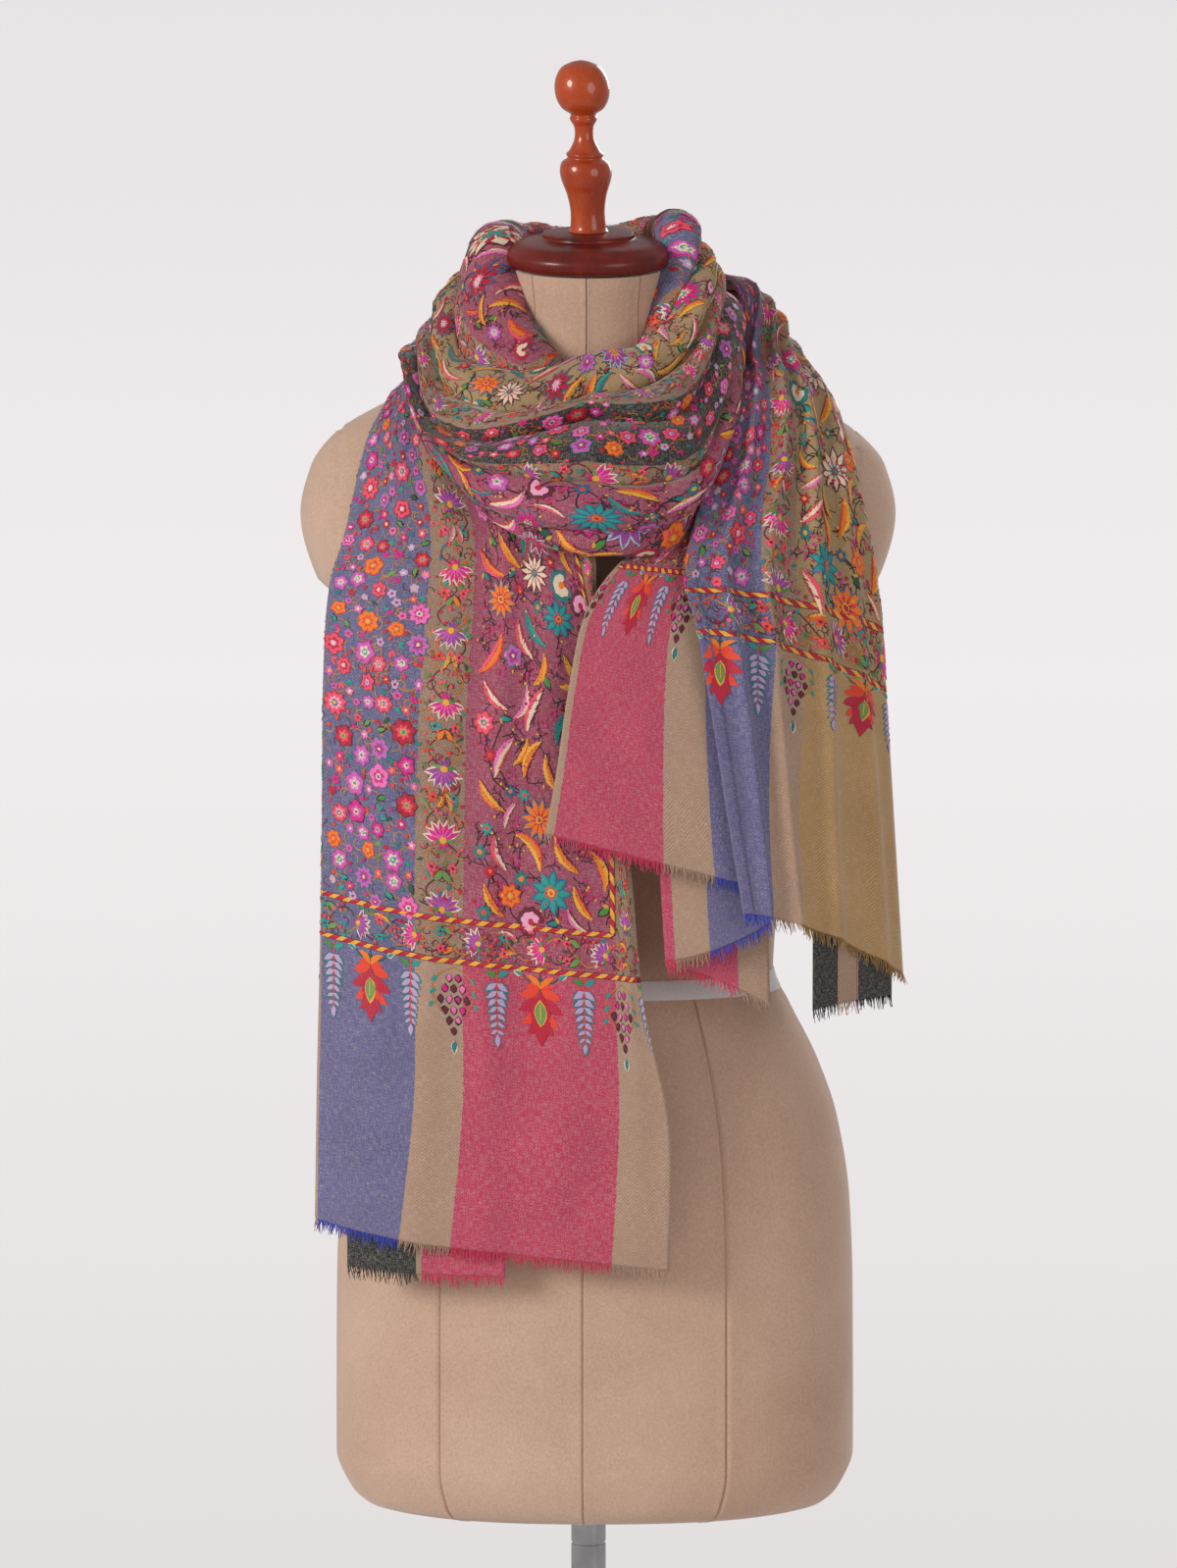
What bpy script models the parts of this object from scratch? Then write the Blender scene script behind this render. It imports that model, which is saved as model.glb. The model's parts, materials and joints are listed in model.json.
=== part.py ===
"""A pashmina shawl wound once round the neck of a limbless dress form on its stand.

Metres, +Z up. The form faces -Y, +X is on the right of someone who looks at its front.
The origin is the centre of the stand's underside, where the whole object rests.
"""
import math

import bmesh
import bpy
from mathutils import Matrix, Vector

# ---- driving dimensions -------------------------------------------------------------
SEAM_GAP = 0.0003            # clearance between pieces that meet
CLOTH = 0.0015               # wall of the shawl
FRINGE_REACH = 0.009         # loose warp ends past a hem
FRINGE_WALL = 0.001
HEM_GAP = 0.0006             # from a hem to the solid of its fringe

BASE_RADIUS = 0.190
BASE_THICKNESS = 0.012
BASE_BEVEL = 0.003
SOCKET_RADIUS = 0.020
SOCKET_HEIGHT = 0.055
POLE_RADIUS = 0.011
ARMHOLE_X = 0.162            # plane of the armhole seams, from the form's middle
WAIST_HEIGHT = 1.052         # lower edge of the waist tape
TAPE_WIDTH = 0.012
TAPE_WALL = 0.001
NECK_SLOPE = 0.14            # the neck's top leans forward, rise over run
FINIAL_SIDE_LEAN = 0.045     # the finial leans a little to the left
ROUNDNESS = 2.3              # exponent of the form's oval sections

# ---- tables -------------------------------------------------------------------------
# Form sections: height, half_width, front, back, sway (middle's x), lean (slope of section)
FORM_SECTIONS = (
    (0.7210, 0.1300, 0.078, 0.088, 0.004, 0.00),
    (0.7250, 0.1460, 0.090, 0.100, 0.004, 0.00),
    (0.7350, 0.1560, 0.098, 0.109, 0.004, 0.00),
    (0.7560, 0.1640, 0.104, 0.115, 0.004, 0.00),
    (0.8600, 0.1635, 0.106, 0.118, 0.004, 0.00),
    (0.9180, 0.1612, 0.105, 0.115, 0.004, 0.00),
    (0.9680, 0.1535, 0.100, 0.105, 0.004, 0.00),
    (1.0050, 0.1410, 0.094, 0.094, 0.004, 0.00),
    (1.0420, 0.1225, 0.087, 0.083, 0.004, 0.00),
    (1.0640, 0.1125, 0.083, 0.079, 0.004, 0.00),
    (1.0900, 0.1140, 0.084, 0.080, 0.004, 0.00),
    (1.1500, 0.1260, 0.093, 0.086, 0.004, 0.00),
    (1.2200, 0.1430, 0.110, 0.092, 0.005, 0.00),
    (1.2850, 0.1560, 0.119, 0.096, 0.005, 0.00),
    (1.2990, 0.1640, 0.118, 0.096, 0.006, 0.00),
    (1.3120, 0.1770, 0.115, 0.096, 0.006, 0.00),
    (1.3520, 0.1870, 0.098, 0.092, 0.006, 0.00),
    (1.3820, 0.1800, 0.081, 0.083, 0.006, 0.00),
    (1.4020, 0.1640, 0.069, 0.074, 0.005, 0.00),
    (1.4170, 0.1390, 0.060, 0.066, 0.004, 0.00),
    (1.4320, 0.1020, 0.054, 0.058, 0.002, 0.01),
    (1.4400, 0.0720, 0.051, 0.055, 0.001, 0.03),
    (1.4480, 0.0530, 0.050, 0.051, 0.000, 0.05),
    (1.4620, 0.0455, 0.049, 0.046, 0.000, 0.07),
    (1.4800, 0.0450, 0.050, 0.041, 0.000, 0.10),
    (1.5070, 0.0480, 0.055, 0.040, 0.000, NECK_SLOPE),
)
# Turned wood: height over the neck's top, radius
NECK_CAP_PROFILE = (
    (0.0003, 0.0), (0.0003, 0.0455), (0.002, 0.0500), (0.006, 0.0518), (0.010, 0.0515),
    (0.014, 0.0480), (0.0165, 0.0440), (0.0185, 0.0300), (0.0215, 0.0285), (0.0225, 0.0240), (0.0225, 0.0),
)
FINIAL_PROFILE = (
    (0.0228, 0.0), (0.0228, 0.0125), (0.026, 0.0112), (0.036, 0.0108), (0.046, 0.0125), (0.054, 0.0152),
    (0.060, 0.0163), (0.066, 0.0150), (0.069, 0.0112), (0.0715, 0.0118), (0.074, 0.0095),
    (0.081, 0.0062), (0.088, 0.0060), (0.092, 0.0080), (0.094, 0.0086), (0.0965, 0.0080),
    (0.100, 0.0130), (0.106, 0.0163), (0.113, 0.0172), (0.120, 0.0158), (0.126, 0.0118), (0.1302, 0.0),
)
# Neck wrap, a section at each bearing round the neck (0 in front, 90 on the right, degrees).
# Radius and height of: the tucked inner edge, the crest, the upper roll, the outer roll,
# the lower roll and the tucked lower edge.
WRAP_SECTIONS = (
    (0,   0.0605, 1.425, 0.0660, 1.439, 0.0980, 1.418, 0.1330, 1.389, 0.1490, 1.358, 0.1380, 1.347),
    (25,  0.0620, 1.432, 0.0650, 1.442, 0.0940, 1.423, 0.1230, 1.396, 0.1360, 1.366, 0.1280, 1.355),
    (45,  0.0590, 1.450, 0.0625, 1.459, 0.0820, 1.443, 0.1010, 1.421, 0.1090, 1.408, 0.1050, 1.402),
    (65,  0.0560, 1.480, 0.0600, 1.493, 0.0740, 1.480, 0.0870, 1.458, 0.0930, 1.444, 0.0900, 1.439),
    (90,  0.0530, 1.500, 0.0575, 1.524, 0.0680, 1.512, 0.0820, 1.490, 0.0870, 1.466, 0.0840, 1.457),
    (135, 0.0540, 1.503, 0.0590, 1.524, 0.0720, 1.514, 0.0860, 1.494, 0.0900, 1.466, 0.0860, 1.452),
    (180, 0.0540, 1.500, 0.0600, 1.520, 0.0740, 1.512, 0.0900, 1.490, 0.0940, 1.462, 0.0880, 1.447),
    (225, 0.0540, 1.497, 0.0600, 1.518, 0.0740, 1.508, 0.0920, 1.486, 0.1000, 1.462, 0.0960, 1.453),
    (270, 0.0525, 1.490, 0.0560, 1.513, 0.0720, 1.496, 0.0930, 1.472, 0.1020, 1.456, 0.0990, 1.4520),
    (295, 0.0530, 1.472, 0.0575, 1.488, 0.0780, 1.472, 0.1020, 1.451, 0.1130, 1.442, 0.1115, 1.4395),
    (315, 0.0570, 1.450, 0.0620, 1.461, 0.0880, 1.446, 0.1170, 1.418, 0.1290, 1.403, 0.1270, 1.3985),
    (337, 0.0610, 1.430, 0.0650, 1.442, 0.0950, 1.424, 0.1270, 1.397, 0.1410, 1.370, 0.1330, 1.360),
)
# The wrap's gathered folds: place between inner edge (0) and lower edge (1), at the front
# and at the back, and how far the fold stands out
WRAP_FOLDS = (
    (0.20, 0.18, 0.0030),
    (0.36, 0.34, 0.0035),
    (0.52, 0.50, 0.0040),
    (0.68, 0.66, 0.0040),
    (0.84, 0.83, 0.0035),
)
# Left tail, from behind the shoulder to the hem. fold_x: outer fold, blue_x: end of the blue
# stripe, beige_x: end of the beige one, pink_x: end of the pink one, edge_x: the selvedge.
# Then y and z at the fold, the middle and the selvedge, the pitch of the cloth in degrees
# (0 hangs upright, 90 lies flat) and the depth from the front layer to the one behind.
LEFT_TAIL_ROWS = (
    (-0.116, -0.104, -0.094, -0.070, -0.060,  0.046, 0.050, 0.050, 1.4185, 1.4300, 1.4440, 125, 0.005),
    (-0.120, -0.102, -0.092, -0.070, -0.060,  0.002, 0.002, 0.002, 1.4325, 1.4440, 1.4590, 90, 0.005),
    (-0.128, -0.103, -0.090, -0.062, -0.050, -0.036, -0.045, -0.053, 1.422, 1.434, 1.446, 60, 0.006),
    (-0.139, -0.104, -0.089, -0.045, -0.036, -0.058, -0.076, -0.086, 1.398, 1.404, 1.406, 35, 0.007),
    (-0.151, -0.095, -0.070, -0.012,  0.000, -0.073, -0.106, -0.119, 1.345, 1.348, 1.348, 18, 0.008),
    (-0.1610, -0.096, -0.069, 0.000,  0.006, -0.083, -0.1195, -0.131, 1.308, 1.304, 1.300, 6, 0.010),
    (-0.1645, -0.101, -0.073, 0.010,  0.013, -0.088, -0.127, -0.134, 1.253, 1.243, 1.236, 0, 0.010),
    (-0.1655, -0.104, -0.075, 0.016,  0.026, -0.090, -0.128, -0.135, 1.162, 1.150, 1.140, 0, 0.010),
    (-0.1670, -0.104, -0.076, 0.017,  0.034, -0.091, -0.127, -0.134, 1.081, 1.068, 1.056, 0, 0.010),
    (-0.1690, -0.105, -0.076, 0.019,  0.050, -0.092, -0.126, -0.133, 1.005, 0.992, 0.979, 0, 0.010),
    (-0.1705, -0.115, -0.084, 0.0145, 0.0500, -0.092, -0.125, -0.132, 0.917, 0.905, 0.890, 0, 0.010),
)
# A lower layer lies on the back of its tail's front layer: the first of the tail's rings that
# it follows, its places across (the tail's columns), the step back from the front layer, and
# how far its two ends reach lower
LEFT_LOWER = {"first_ring": 13, "step": 0.0025, "places": (4.7, 5, 6, 7, 8), "drops": (0.024, 0.015)}
OUTER_LOWER = {"first_ring": 19, "step": 0.0036, "places": (3.4, 4, 5, 6, 7, 7.4), "drops": (0.050, 0.018)}
# Right tail, ridge panel, from behind the neck to the hem: the ridge point, the outer fold
# point, how far the middle bows out, the pitch in degrees and the depth of the layer behind
RIDGE_ROWS = (
    (0.0300, 0.101, 1.503, 0.0350, 0.112, 1.450, 0.002, 20, 0.005),
    (0.0810, 0.075, 1.502, 0.1060, 0.084, 1.452, 0.004, 40, 0.005),
    (0.0965, 0.028, 1.490, 0.1280, 0.040, 1.450, 0.008, 60, 0.005),
    (0.0915, -0.002, 1.4460, 0.1400, 0.004, 1.441, 0.010, 75, 0.005),
    (0.0900, -0.031, 1.4345, 0.1530, -0.020, 1.4260, 0.008, 58, 0.005),
    (0.0870, -0.060, 1.417, 0.1620, -0.046, 1.4020, 0.007, 40, 0.006),
    (0.0810, -0.087, 1.388, 0.1680, -0.065, 1.3740, 0.006, 30, 0.007),
    (0.0680, -0.116, 1.357, 0.1750, -0.075, 1.3400, 0.008, 20, 0.008),
    (0.0600, -0.143, 1.319, 0.1820, -0.077, 1.2940, 0.008, 8, 0.010),
    (0.0677, -0.152, 1.286, 0.1850, -0.078, 1.2450, 0.010, 0, 0.010),
    (0.0773, -0.155, 1.230, 0.1880, -0.079, 1.1990, 0.012, 0, 0.010),
    (0.0857, -0.156, 1.176, 0.1915, -0.080, 1.1430, 0.013, 0, 0.010),
    (0.0958, -0.156, 1.114, 0.1960, -0.082, 1.0690, 0.014, 0, 0.010),
)
# Right tail, inner panel that runs under the ridge: selvedge point, hidden edge point, bow,
# pitch
UNDER_ROWS = (
    (0.0860, -0.0755, 1.385, 0.1150, -0.0725, 1.3880, 0.001, 40),
    (0.0720, -0.0940, 1.368, 0.1130, -0.0880, 1.3700, 0.002, 30),
    (0.0530, -0.1080, 1.354, 0.1100, -0.0990, 1.3460, 0.002, 20),
    (0.0174, -0.1360, 1.326, 0.0980, -0.1220, 1.3160, 0.002, 8),
    (-0.0024, -0.1450, 1.296, 0.0930, -0.1350, 1.2810, 0.002, 0),
    (-0.0120, -0.1490, 1.2527, 0.0940, -0.1425, 1.2350, 0.002, 0),
    (-0.0198, -0.1500, 1.2000, 0.0990, -0.1450, 1.1800, 0.002, 0),
    (-0.0264, -0.1500, 1.163, 0.1050, -0.1465, 1.1290, 0.003, 0),
)
# Lower layers of the right tail, each from its hidden top to its hem: left point, right
# point, bow and pitch
INNER_FRONT_ROWS = (
    (0.0440, -0.1424, 1.270, 0.1000, -0.1344, 1.265, 0.001, 0),
    (0.0440, -0.1395, 1.215, 0.1050, -0.1345, 1.212, 0.001, 0),
    (0.0435, -0.1360, 1.150, 0.1090, -0.1350, 1.155, 0.002, 0),
    (0.0470, -0.1350, 1.083, 0.1120, -0.1350, 1.106, 0.003, 0),
)
INNER_BACK_ROWS = (
    (0.0500, -0.1394, 1.262, 0.1000, -0.1323, 1.258, 0.001, 0),
    (0.0480, -0.1340, 1.205, 0.1050, -0.1275, 1.200, 0.001, 0),
    (0.0470, -0.1270, 1.130, 0.1100, -0.1230, 1.120, 0.002, 0),
    (0.0490, -0.1260, 1.078, 0.1120, -0.1220, 1.054, 0.003, 0),
)

# ---- scene clean-up and small helpers -----------------------------------------------
for old in list(bpy.data.objects):
    bpy.data.objects.remove(old, do_unlink=True)


def make_material(name, colour, roughness, metallic=0.0):
    material = bpy.data.materials.new(name)
    material.use_nodes = True
    shader = material.node_tree.nodes["Principled BSDF"]
    shader.inputs["Base Color"].default_value = (*colour, 1.0)
    shader.inputs["Roughness"].default_value = roughness
    shader.inputs["Metallic"].default_value = metallic
    return material


SUEDE = make_material("form_suede", (0.58, 0.40, 0.28), 0.9)
WOOD = make_material("turned_wood", (0.28, 0.05, 0.02), 0.25)
CHROME = make_material("chrome", (0.75, 0.75, 0.77), 0.15, 1.0)
TAPE = make_material("waist_tape", (0.82, 0.80, 0.78), 0.8)
PASHMINA = make_material("pashmina", (0.48, 0.12, 0.17), 0.85)
PASHMINA_BLUE = make_material("pashmina_blue", (0.12, 0.13, 0.35), 0.85)
PASHMINA_MUSTARD = make_material("pashmina_mustard", (0.45, 0.34, 0.15), 0.85)
PASHMINA_BLACK = make_material("pashmina_black", (0.03, 0.03, 0.03), 0.85)
FRINGE = make_material("fringe", (0.60, 0.05, 0.15), 0.9)


def add_object(name, mesh, material, smooth_angle=40):
    mesh.materials.append(material)
    mesh.shade_smooth()
    mesh.set_sharp_from_angle(angle=math.radians(smooth_angle))
    made = bpy.data.objects.new(name, mesh)
    bpy.context.collection.objects.link(made)
    return made


def mesh_from(name, points, faces):
    mesh = bpy.data.meshes.new(name)
    mesh.from_pydata([tuple(p) for p in points], [], faces)
    mesh.update()
    return mesh


def through(values, position, closed=False):
    """A smooth curve through equally spaced values (Catmull-Rom)."""
    last = len(values) - (0 if closed else 1)
    step = min(int(math.floor(position)), last - 1)
    t = position - step
    pick = (lambda i: values[i % len(values)]) if closed else (lambda i: values[min(max(i, 0), last)])
    a, b, c, d = (pick(step + i) for i in (-1, 0, 1, 2))
    return b + 0.5 * t * (c - a + t * (2 * a - 5 * b + 4 * c - d + t * (3 * (b - c) + d - a)))


def between(keys, values, key):
    """Monotone cubic through values at rising keys, so that a section never overshoots."""
    key = min(max(key, keys[0]), keys[-1])
    i = max(n for n in range(len(keys) - 1) if keys[n] <= key)
    width = [keys[n + 1] - keys[n] for n in range(len(keys) - 1)]
    rise = [(values[n + 1] - values[n]) / width[n] for n in range(len(width))]

    def slope(n):
        if n in (0, len(width)):
            return rise[0 if n == 0 else -1]
        return 0.0 if rise[n - 1] * rise[n] <= 0 else 2 / (1 / rise[n - 1] + 1 / rise[n])

    t = (key - keys[i]) / width[i]
    h00, h10 = 2 * t**3 - 3 * t**2 + 1, t**3 - 2 * t**2 + t
    h01, h11 = 3 * t**2 - 2 * t**3, t**3 - t**2
    return (h00 * values[i] + h10 * width[i] * slope(i)
            + h01 * values[i + 1] + h11 * width[i] * slope(i + 1))


# ---- dress form ---------------------------------------------------------------------
def form_point(height, angle, proud=0.0):
    """A point of the form's skin; angle 0 is +X and 270 degrees is the front."""
    keys = [row[0] for row in FORM_SECTIONS]
    wide, front, back, sway, lean = (
        between(keys, [row[c] for row in FORM_SECTIONS], height) for c in (1, 2, 3, 4, 5))
    cosine, sine = math.cos(angle), math.sin(angle)
    deep = (front if sine < 0 else back) + proud
    x = (wide + proud) * math.copysign(abs(cosine) ** (2 / ROUNDNESS), cosine)
    y = deep * math.copysign(abs(sine) ** (2 / ROUNDNESS), sine)
    return Vector((sway + x, y, height + lean * y))


def make_form():
    heights = []
    for (low, *_), (high, *_) in zip(FORM_SECTIONS, FORM_SECTIONS[1:]):
        parts = 3 if high - low > 0.06 else 2 if high - low > 0.03 else 1
        heights += [low + (high - low) * n / parts for n in range(parts)]
    heights += [FORM_SECTIONS[-1][0], WAIST_HEIGHT, WAIST_HEIGHT + TAPE_WIDTH]
    heights = sorted(set(heights))
    count = 40
    points = [form_point(h, math.tau * n / count) for h in heights for n in range(count)]
    faces = [(r * count + n, r * count + (n + 1) % count, (r + 1) * count + (n + 1) % count, (r + 1) * count + n)
             for r in range(len(heights) - 1) for n in range(count)]
    faces.append(tuple(reversed(range(count))))
    faces.append(tuple((len(heights) - 1) * count + n for n in range(count)))
    middle = FORM_SECTIONS[16][4]
    for name, side, cuts in (("form_torso", 0, (-1, 1)), ("form_arm_cap_left", -1, (-1,)), ("form_arm_cap_right", 1, (1,))):
        shape = bmesh.new()
        full = mesh_from(name, points, faces)
        shape.from_mesh(full)
        for cut in cuts:
            inset = ARMHOLE_X if side == 0 else ARMHOLE_X + SEAM_GAP
            found = bmesh.ops.bisect_plane(
                shape, geom=shape.verts[:] + shape.edges[:] + shape.faces[:], dist=1e-6,
                plane_co=(middle + cut * inset, 0, 0), plane_no=(cut, 0, 0),
                clear_outer=side == 0, clear_inner=side != 0)
            rim = [e for e in found["geom_cut"] if isinstance(e, bmesh.types.BMEdge)]
            bmesh.ops.edgeloop_fill(shape, edges=rim)
        if side:
            low_rim = [v for v in shape.verts if v.co.z < 1.28]
            bmesh.ops.delete(shape, geom=low_rim, context="VERTS")
        bmesh.ops.remove_doubles(shape, verts=shape.verts, dist=1e-5)
        bmesh.ops.recalc_face_normals(shape, faces=shape.faces)
        shape.to_mesh(full)
        shape.free()
        add_object(name, full, SUEDE)


def make_tape():
    """The cotton tape that marks the waist, a thin closed band."""
    count, rings = 40, ((0.0, SEAM_GAP), (TAPE_WIDTH, SEAM_GAP), (TAPE_WIDTH, TAPE_WALL), (0.0, TAPE_WALL))
    points = [form_point(WAIST_HEIGHT + up, math.tau * n / count, out + SEAM_GAP)
              for up, out in rings for n in range(count)]
    faces = [(r * count + n, ((r + 1) % 4) * count + n, ((r + 1) % 4) * count + (n + 1) % count, r * count + (n + 1) % count)
             for r in range(4) for n in range(count)]
    shape = bmesh.new()
    mesh = mesh_from("form_waist_tape", points, faces)
    shape.from_mesh(mesh)
    bmesh.ops.recalc_face_normals(shape, faces=shape.faces)
    shape.to_mesh(mesh)
    shape.free()
    add_object("form_waist_tape", mesh, TAPE)


def turned(name, profile, material, place, count=32):
    """A closed turned body from (height, radius) rows that start and end on the axis."""
    points, faces, rings = [], [], []
    for height, radius in profile:
        size = 1 if radius == 0 else count
        rings.append([len(points) + n for n in range(size)])
        points += [Vector((radius * math.cos(math.tau * n / count), radius * math.sin(math.tau * n / count), height))
                   for n in range(size)]
    for lower, upper in zip(rings, rings[1:]):
        for n in range(count):
            m = (n + 1) % count
            corners = [lower[n % len(lower)], lower[m % len(lower)], upper[m % len(upper)], upper[n % len(upper)]]
            faces.append(tuple(dict.fromkeys(corners)))
    mesh = mesh_from(name, points, faces)
    mesh.transform(place)
    return add_object(name, mesh, material)


def make_stand_and_wood():
    top = BASE_THICKNESS
    turned("stand_base", ((0, 0), (0, BASE_RADIUS - BASE_BEVEL), (BASE_BEVEL, BASE_RADIUS),
                          (top - BASE_BEVEL, BASE_RADIUS), (top, BASE_RADIUS - BASE_BEVEL), (top, 0)),
           CHROME, Matrix())
    foot = top + SEAM_GAP
    turned("stand_socket", ((foot, 0), (foot, SOCKET_RADIUS), (SOCKET_HEIGHT, SOCKET_RADIUS), (SOCKET_HEIGHT, 0)),
           CHROME, Matrix(), 24)
    pole_top = FORM_SECTIONS[0][0] - SEAM_GAP
    turned("stand_pole", ((SOCKET_HEIGHT + SEAM_GAP, 0), (SOCKET_HEIGHT + SEAM_GAP, POLE_RADIUS),
                          (pole_top, POLE_RADIUS), (pole_top, 0)), CHROME, Matrix(), 24)
    lean = Matrix.Rotation(math.atan(NECK_SLOPE), 4, "X")
    seat = Matrix.Translation((0, -0.0075, FORM_SECTIONS[-1][0] - 0.0075 * NECK_SLOPE)) @ lean
    turned("form_neck_cap", NECK_CAP_PROFILE, WOOD, seat)
    side = Matrix.Translation((0, 0, FINIAL_PROFILE[0][0])) @ Matrix.Shear("XY", 4, (-FINIAL_SIDE_LEAN, 0))
    side = side @ Matrix.Translation((0, 0, -FINIAL_PROFILE[0][0]))
    turned("form_finial", FINIAL_PROFILE, WOOD, seat @ side, 24)


# ---- cloth --------------------------------------------------------------------------
def cloth_wall(name, grid, material, closed=False):
    """A wall of cloth through a grid of points, rows down its length, outer side in front."""
    rows, columns = len(grid), len(grid[0])
    points = [p for row in grid for p in row]
    faces = []
    for r in range(rows if closed else rows - 1):
        for c in range(columns - 1):
            n = (r + 1) % rows
            faces.append((r * columns + c, n * columns + c, n * columns + c + 1, r * columns + c + 1))
    made = add_object(name, mesh_from(name, points, faces), material)
    wall = made.modifiers.new("Wall", "SOLIDIFY")
    wall.thickness = CLOTH
    wall.offset = -1
    wall.use_even_offset = False
    return made


def fringe_strip(name, hem, above):
    """The plain solid that the loose warp ends reach through, under a hem."""
    points = []
    for n, (end, higher) in enumerate(zip(hem, above)):
        down = (end - higher).normalized()
        along = (hem[min(n + 1, len(hem) - 1)] - hem[max(n - 1, 0)]).normalized()
        back = along.cross(down).normalized()
        start = end + down * HEM_GAP + back * (CLOTH - FRINGE_WALL) / 2
        points += [start, start + back * FRINGE_WALL, start + down * FRINGE_REACH + back * FRINGE_WALL,
                   start + down * FRINGE_REACH]
    faces = [(4 * n + k, 4 * n + 4 + k, 4 * n + 4 + (k + 1) % 4, 4 * n + (k + 1) % 4)
             for n in range(len(hem) - 1) for k in range(4)]
    last = 4 * (len(hem) - 1)
    faces += [(0, 1, 2, 3), (last + 3, last + 2, last + 1, last)]
    shape = bmesh.new()
    mesh = mesh_from(name, points, faces)
    shape.from_mesh(mesh)
    bmesh.ops.recalc_face_normals(shape, faces=shape.faces)
    shape.to_mesh(mesh)
    shape.free()
    add_object(name, mesh, FRINGE)


def inward(pitch, depth):
    """The step from a layer to one that lies behind it."""
    return Vector((0, math.cos(math.radians(pitch)), -math.sin(math.radians(pitch)))) * depth


def row_values(rows, position):
    return [through([row[c] for row in rows], position) for c in range(len(rows[0]))]


def left_tail_front(position):
    """The front layer at a row: a function of x, with the row's stops from fold to selvedge."""
    values = row_values(LEFT_TAIL_ROWS, position)
    fold_x, blue_x, beige_x, pink_x, edge_x, fy, my, ey, fz, mz, ez, pitch, depth = values
    middle = 0.5 * (blue_x + beige_x)

    def front(x):
        if x > middle:
            t = (x - middle) / (edge_x - middle)
            return Vector((x, my + (ey - my) * t * (1.2 - 0.2 * t), mz + (ez - mz) * t))
        t = (middle - x) / (middle - fold_x)
        return Vector((x, my + (fy - my) * t * t, mz + (fz - mz) * t))

    return front, (fold_x, blue_x, beige_x, pink_x, edge_x), pitch, depth


def left_tail_section(position):
    """The layer behind, the outer fold, then the front layer to the selvedge."""
    front, (fold_x, blue_x, beige_x, pink_x, edge_x), pitch, depth = left_tail_front(position)
    stops = (fold_x + 0.004, 0.5 * (fold_x + blue_x), blue_x, beige_x, 0.67 * beige_x + 0.33 * pink_x,
             0.33 * beige_x + 0.67 * pink_x, pink_x, edge_x)
    roll = front(fold_x) + inward(pitch, depth / 2)
    behind = [front(x) + inward(pitch, depth) for x in (fold_x + 0.008, 0.5 * (fold_x + blue_x), blue_x)]
    return list(reversed(behind)) + [roll] + [front(x) for x in stops]


def lower_layer(tail, pitches, first_ring, step, places, drops):
    """The grid of a layer that lies on the back of a tail's front one and hangs lower."""
    grid = []
    for ring, pitch in list(zip(tail, pitches))[first_ring:]:
        row = []
        for place in places:
            column = int(place)
            row.append(ring[column].lerp(ring[column + 1], place - column) + inward(pitch, step))
        grid.append(row)
    start, end = places[0], places[-1]
    falls = [drops[0] + (drops[1] - drops[0]) * (place - start) / (end - start) for place in places]
    for share in (0.5, 1.0):
        grid.append([p - Vector((0, 0, fall * share)) for p, fall in zip(grid[-1 if share == 0.5 else -2], falls)])
    return grid


def panel_front(rows, position, sag):
    """A panel's front layer at a row, a function of the place across (0 to 1)."""
    x1, y1, z1, x2, y2, z2, bow, pitch, *rest = row_values(rows, position)
    out = inward(pitch, -1.0)

    def at(t):
        point = Vector((x1 + (x2 - x1) * t, y1 + (y2 - y1) * t, z1 + (z2 - z1) * t ** sag))
        return point + out * bow * 4 * t * (1 - t)

    return at, pitch, rest[0] if rest else 0.0


def panel_section(rows, position, columns, sag=1.6, folded=False):
    """A panel from its left point to its right one and, where it is folded, round its fold."""
    at, pitch, depth = panel_front(rows, position, sag)
    across = [at(n / columns) for n in range(columns)]
    if not folded:
        return across + [at(1.0)]
    roll = at(1.0) + inward(pitch, depth / 2)
    behind = [at(t) + inward(pitch, depth) for t in (0.95, 0.80, 0.62)]
    return across + [at(0.97), roll] + behind


def wrap_section(position):
    values = [through([row[c] for row in WRAP_SECTIONS], position, closed=True) for c in range(1, 13)]
    low, high = WRAP_SECTIONS[int(position) % len(WRAP_SECTIONS)][0], WRAP_SECTIONS[(int(position) + 1) % len(WRAP_SECTIONS)][0]
    bearing = math.radians(low + ((high or 360) - low) * (position % 1.0))
    rings = [(values[2 * n], values[2 * n + 1]) for n in range(6)]
    columns = 15
    section = []
    for n in range(columns + 1):
        s = n / columns
        radius = through([r for r, _ in rings], s * 5)
        height = through([z for _, z in rings], s * 5)
        ahead, behind = min(s + 0.02, 1), max(s - 0.02, 0)
        dr = through([r for r, _ in rings], ahead * 5) - through([r for r, _ in rings], behind * 5)
        dz = through([z for _, z in rings], ahead * 5) - through([z for _, z in rings], behind * 5)
        length = math.hypot(dr, dz) or 1.0
        stand = 0.0
        for front, back, proud in WRAP_FOLDS:
            place = front + (back - front) * 0.5 * (1 - math.cos(bearing))
            stand += proud * math.exp(-((s - place) / 0.045) ** 2)
        radius += -dz / length * stand
        height += dr / length * stand
        section.append(Vector((radius * math.sin(bearing), -radius * math.cos(bearing), height)))
    return section


def stations(count, parts):
    return [n * count / parts for n in range(parts + 1)]


def hang(name, grid, material):
    cloth_wall(name, grid, material)
    fringe_strip(name.replace("shawl_", "fringe_"), grid[-1], grid[-2])


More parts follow.
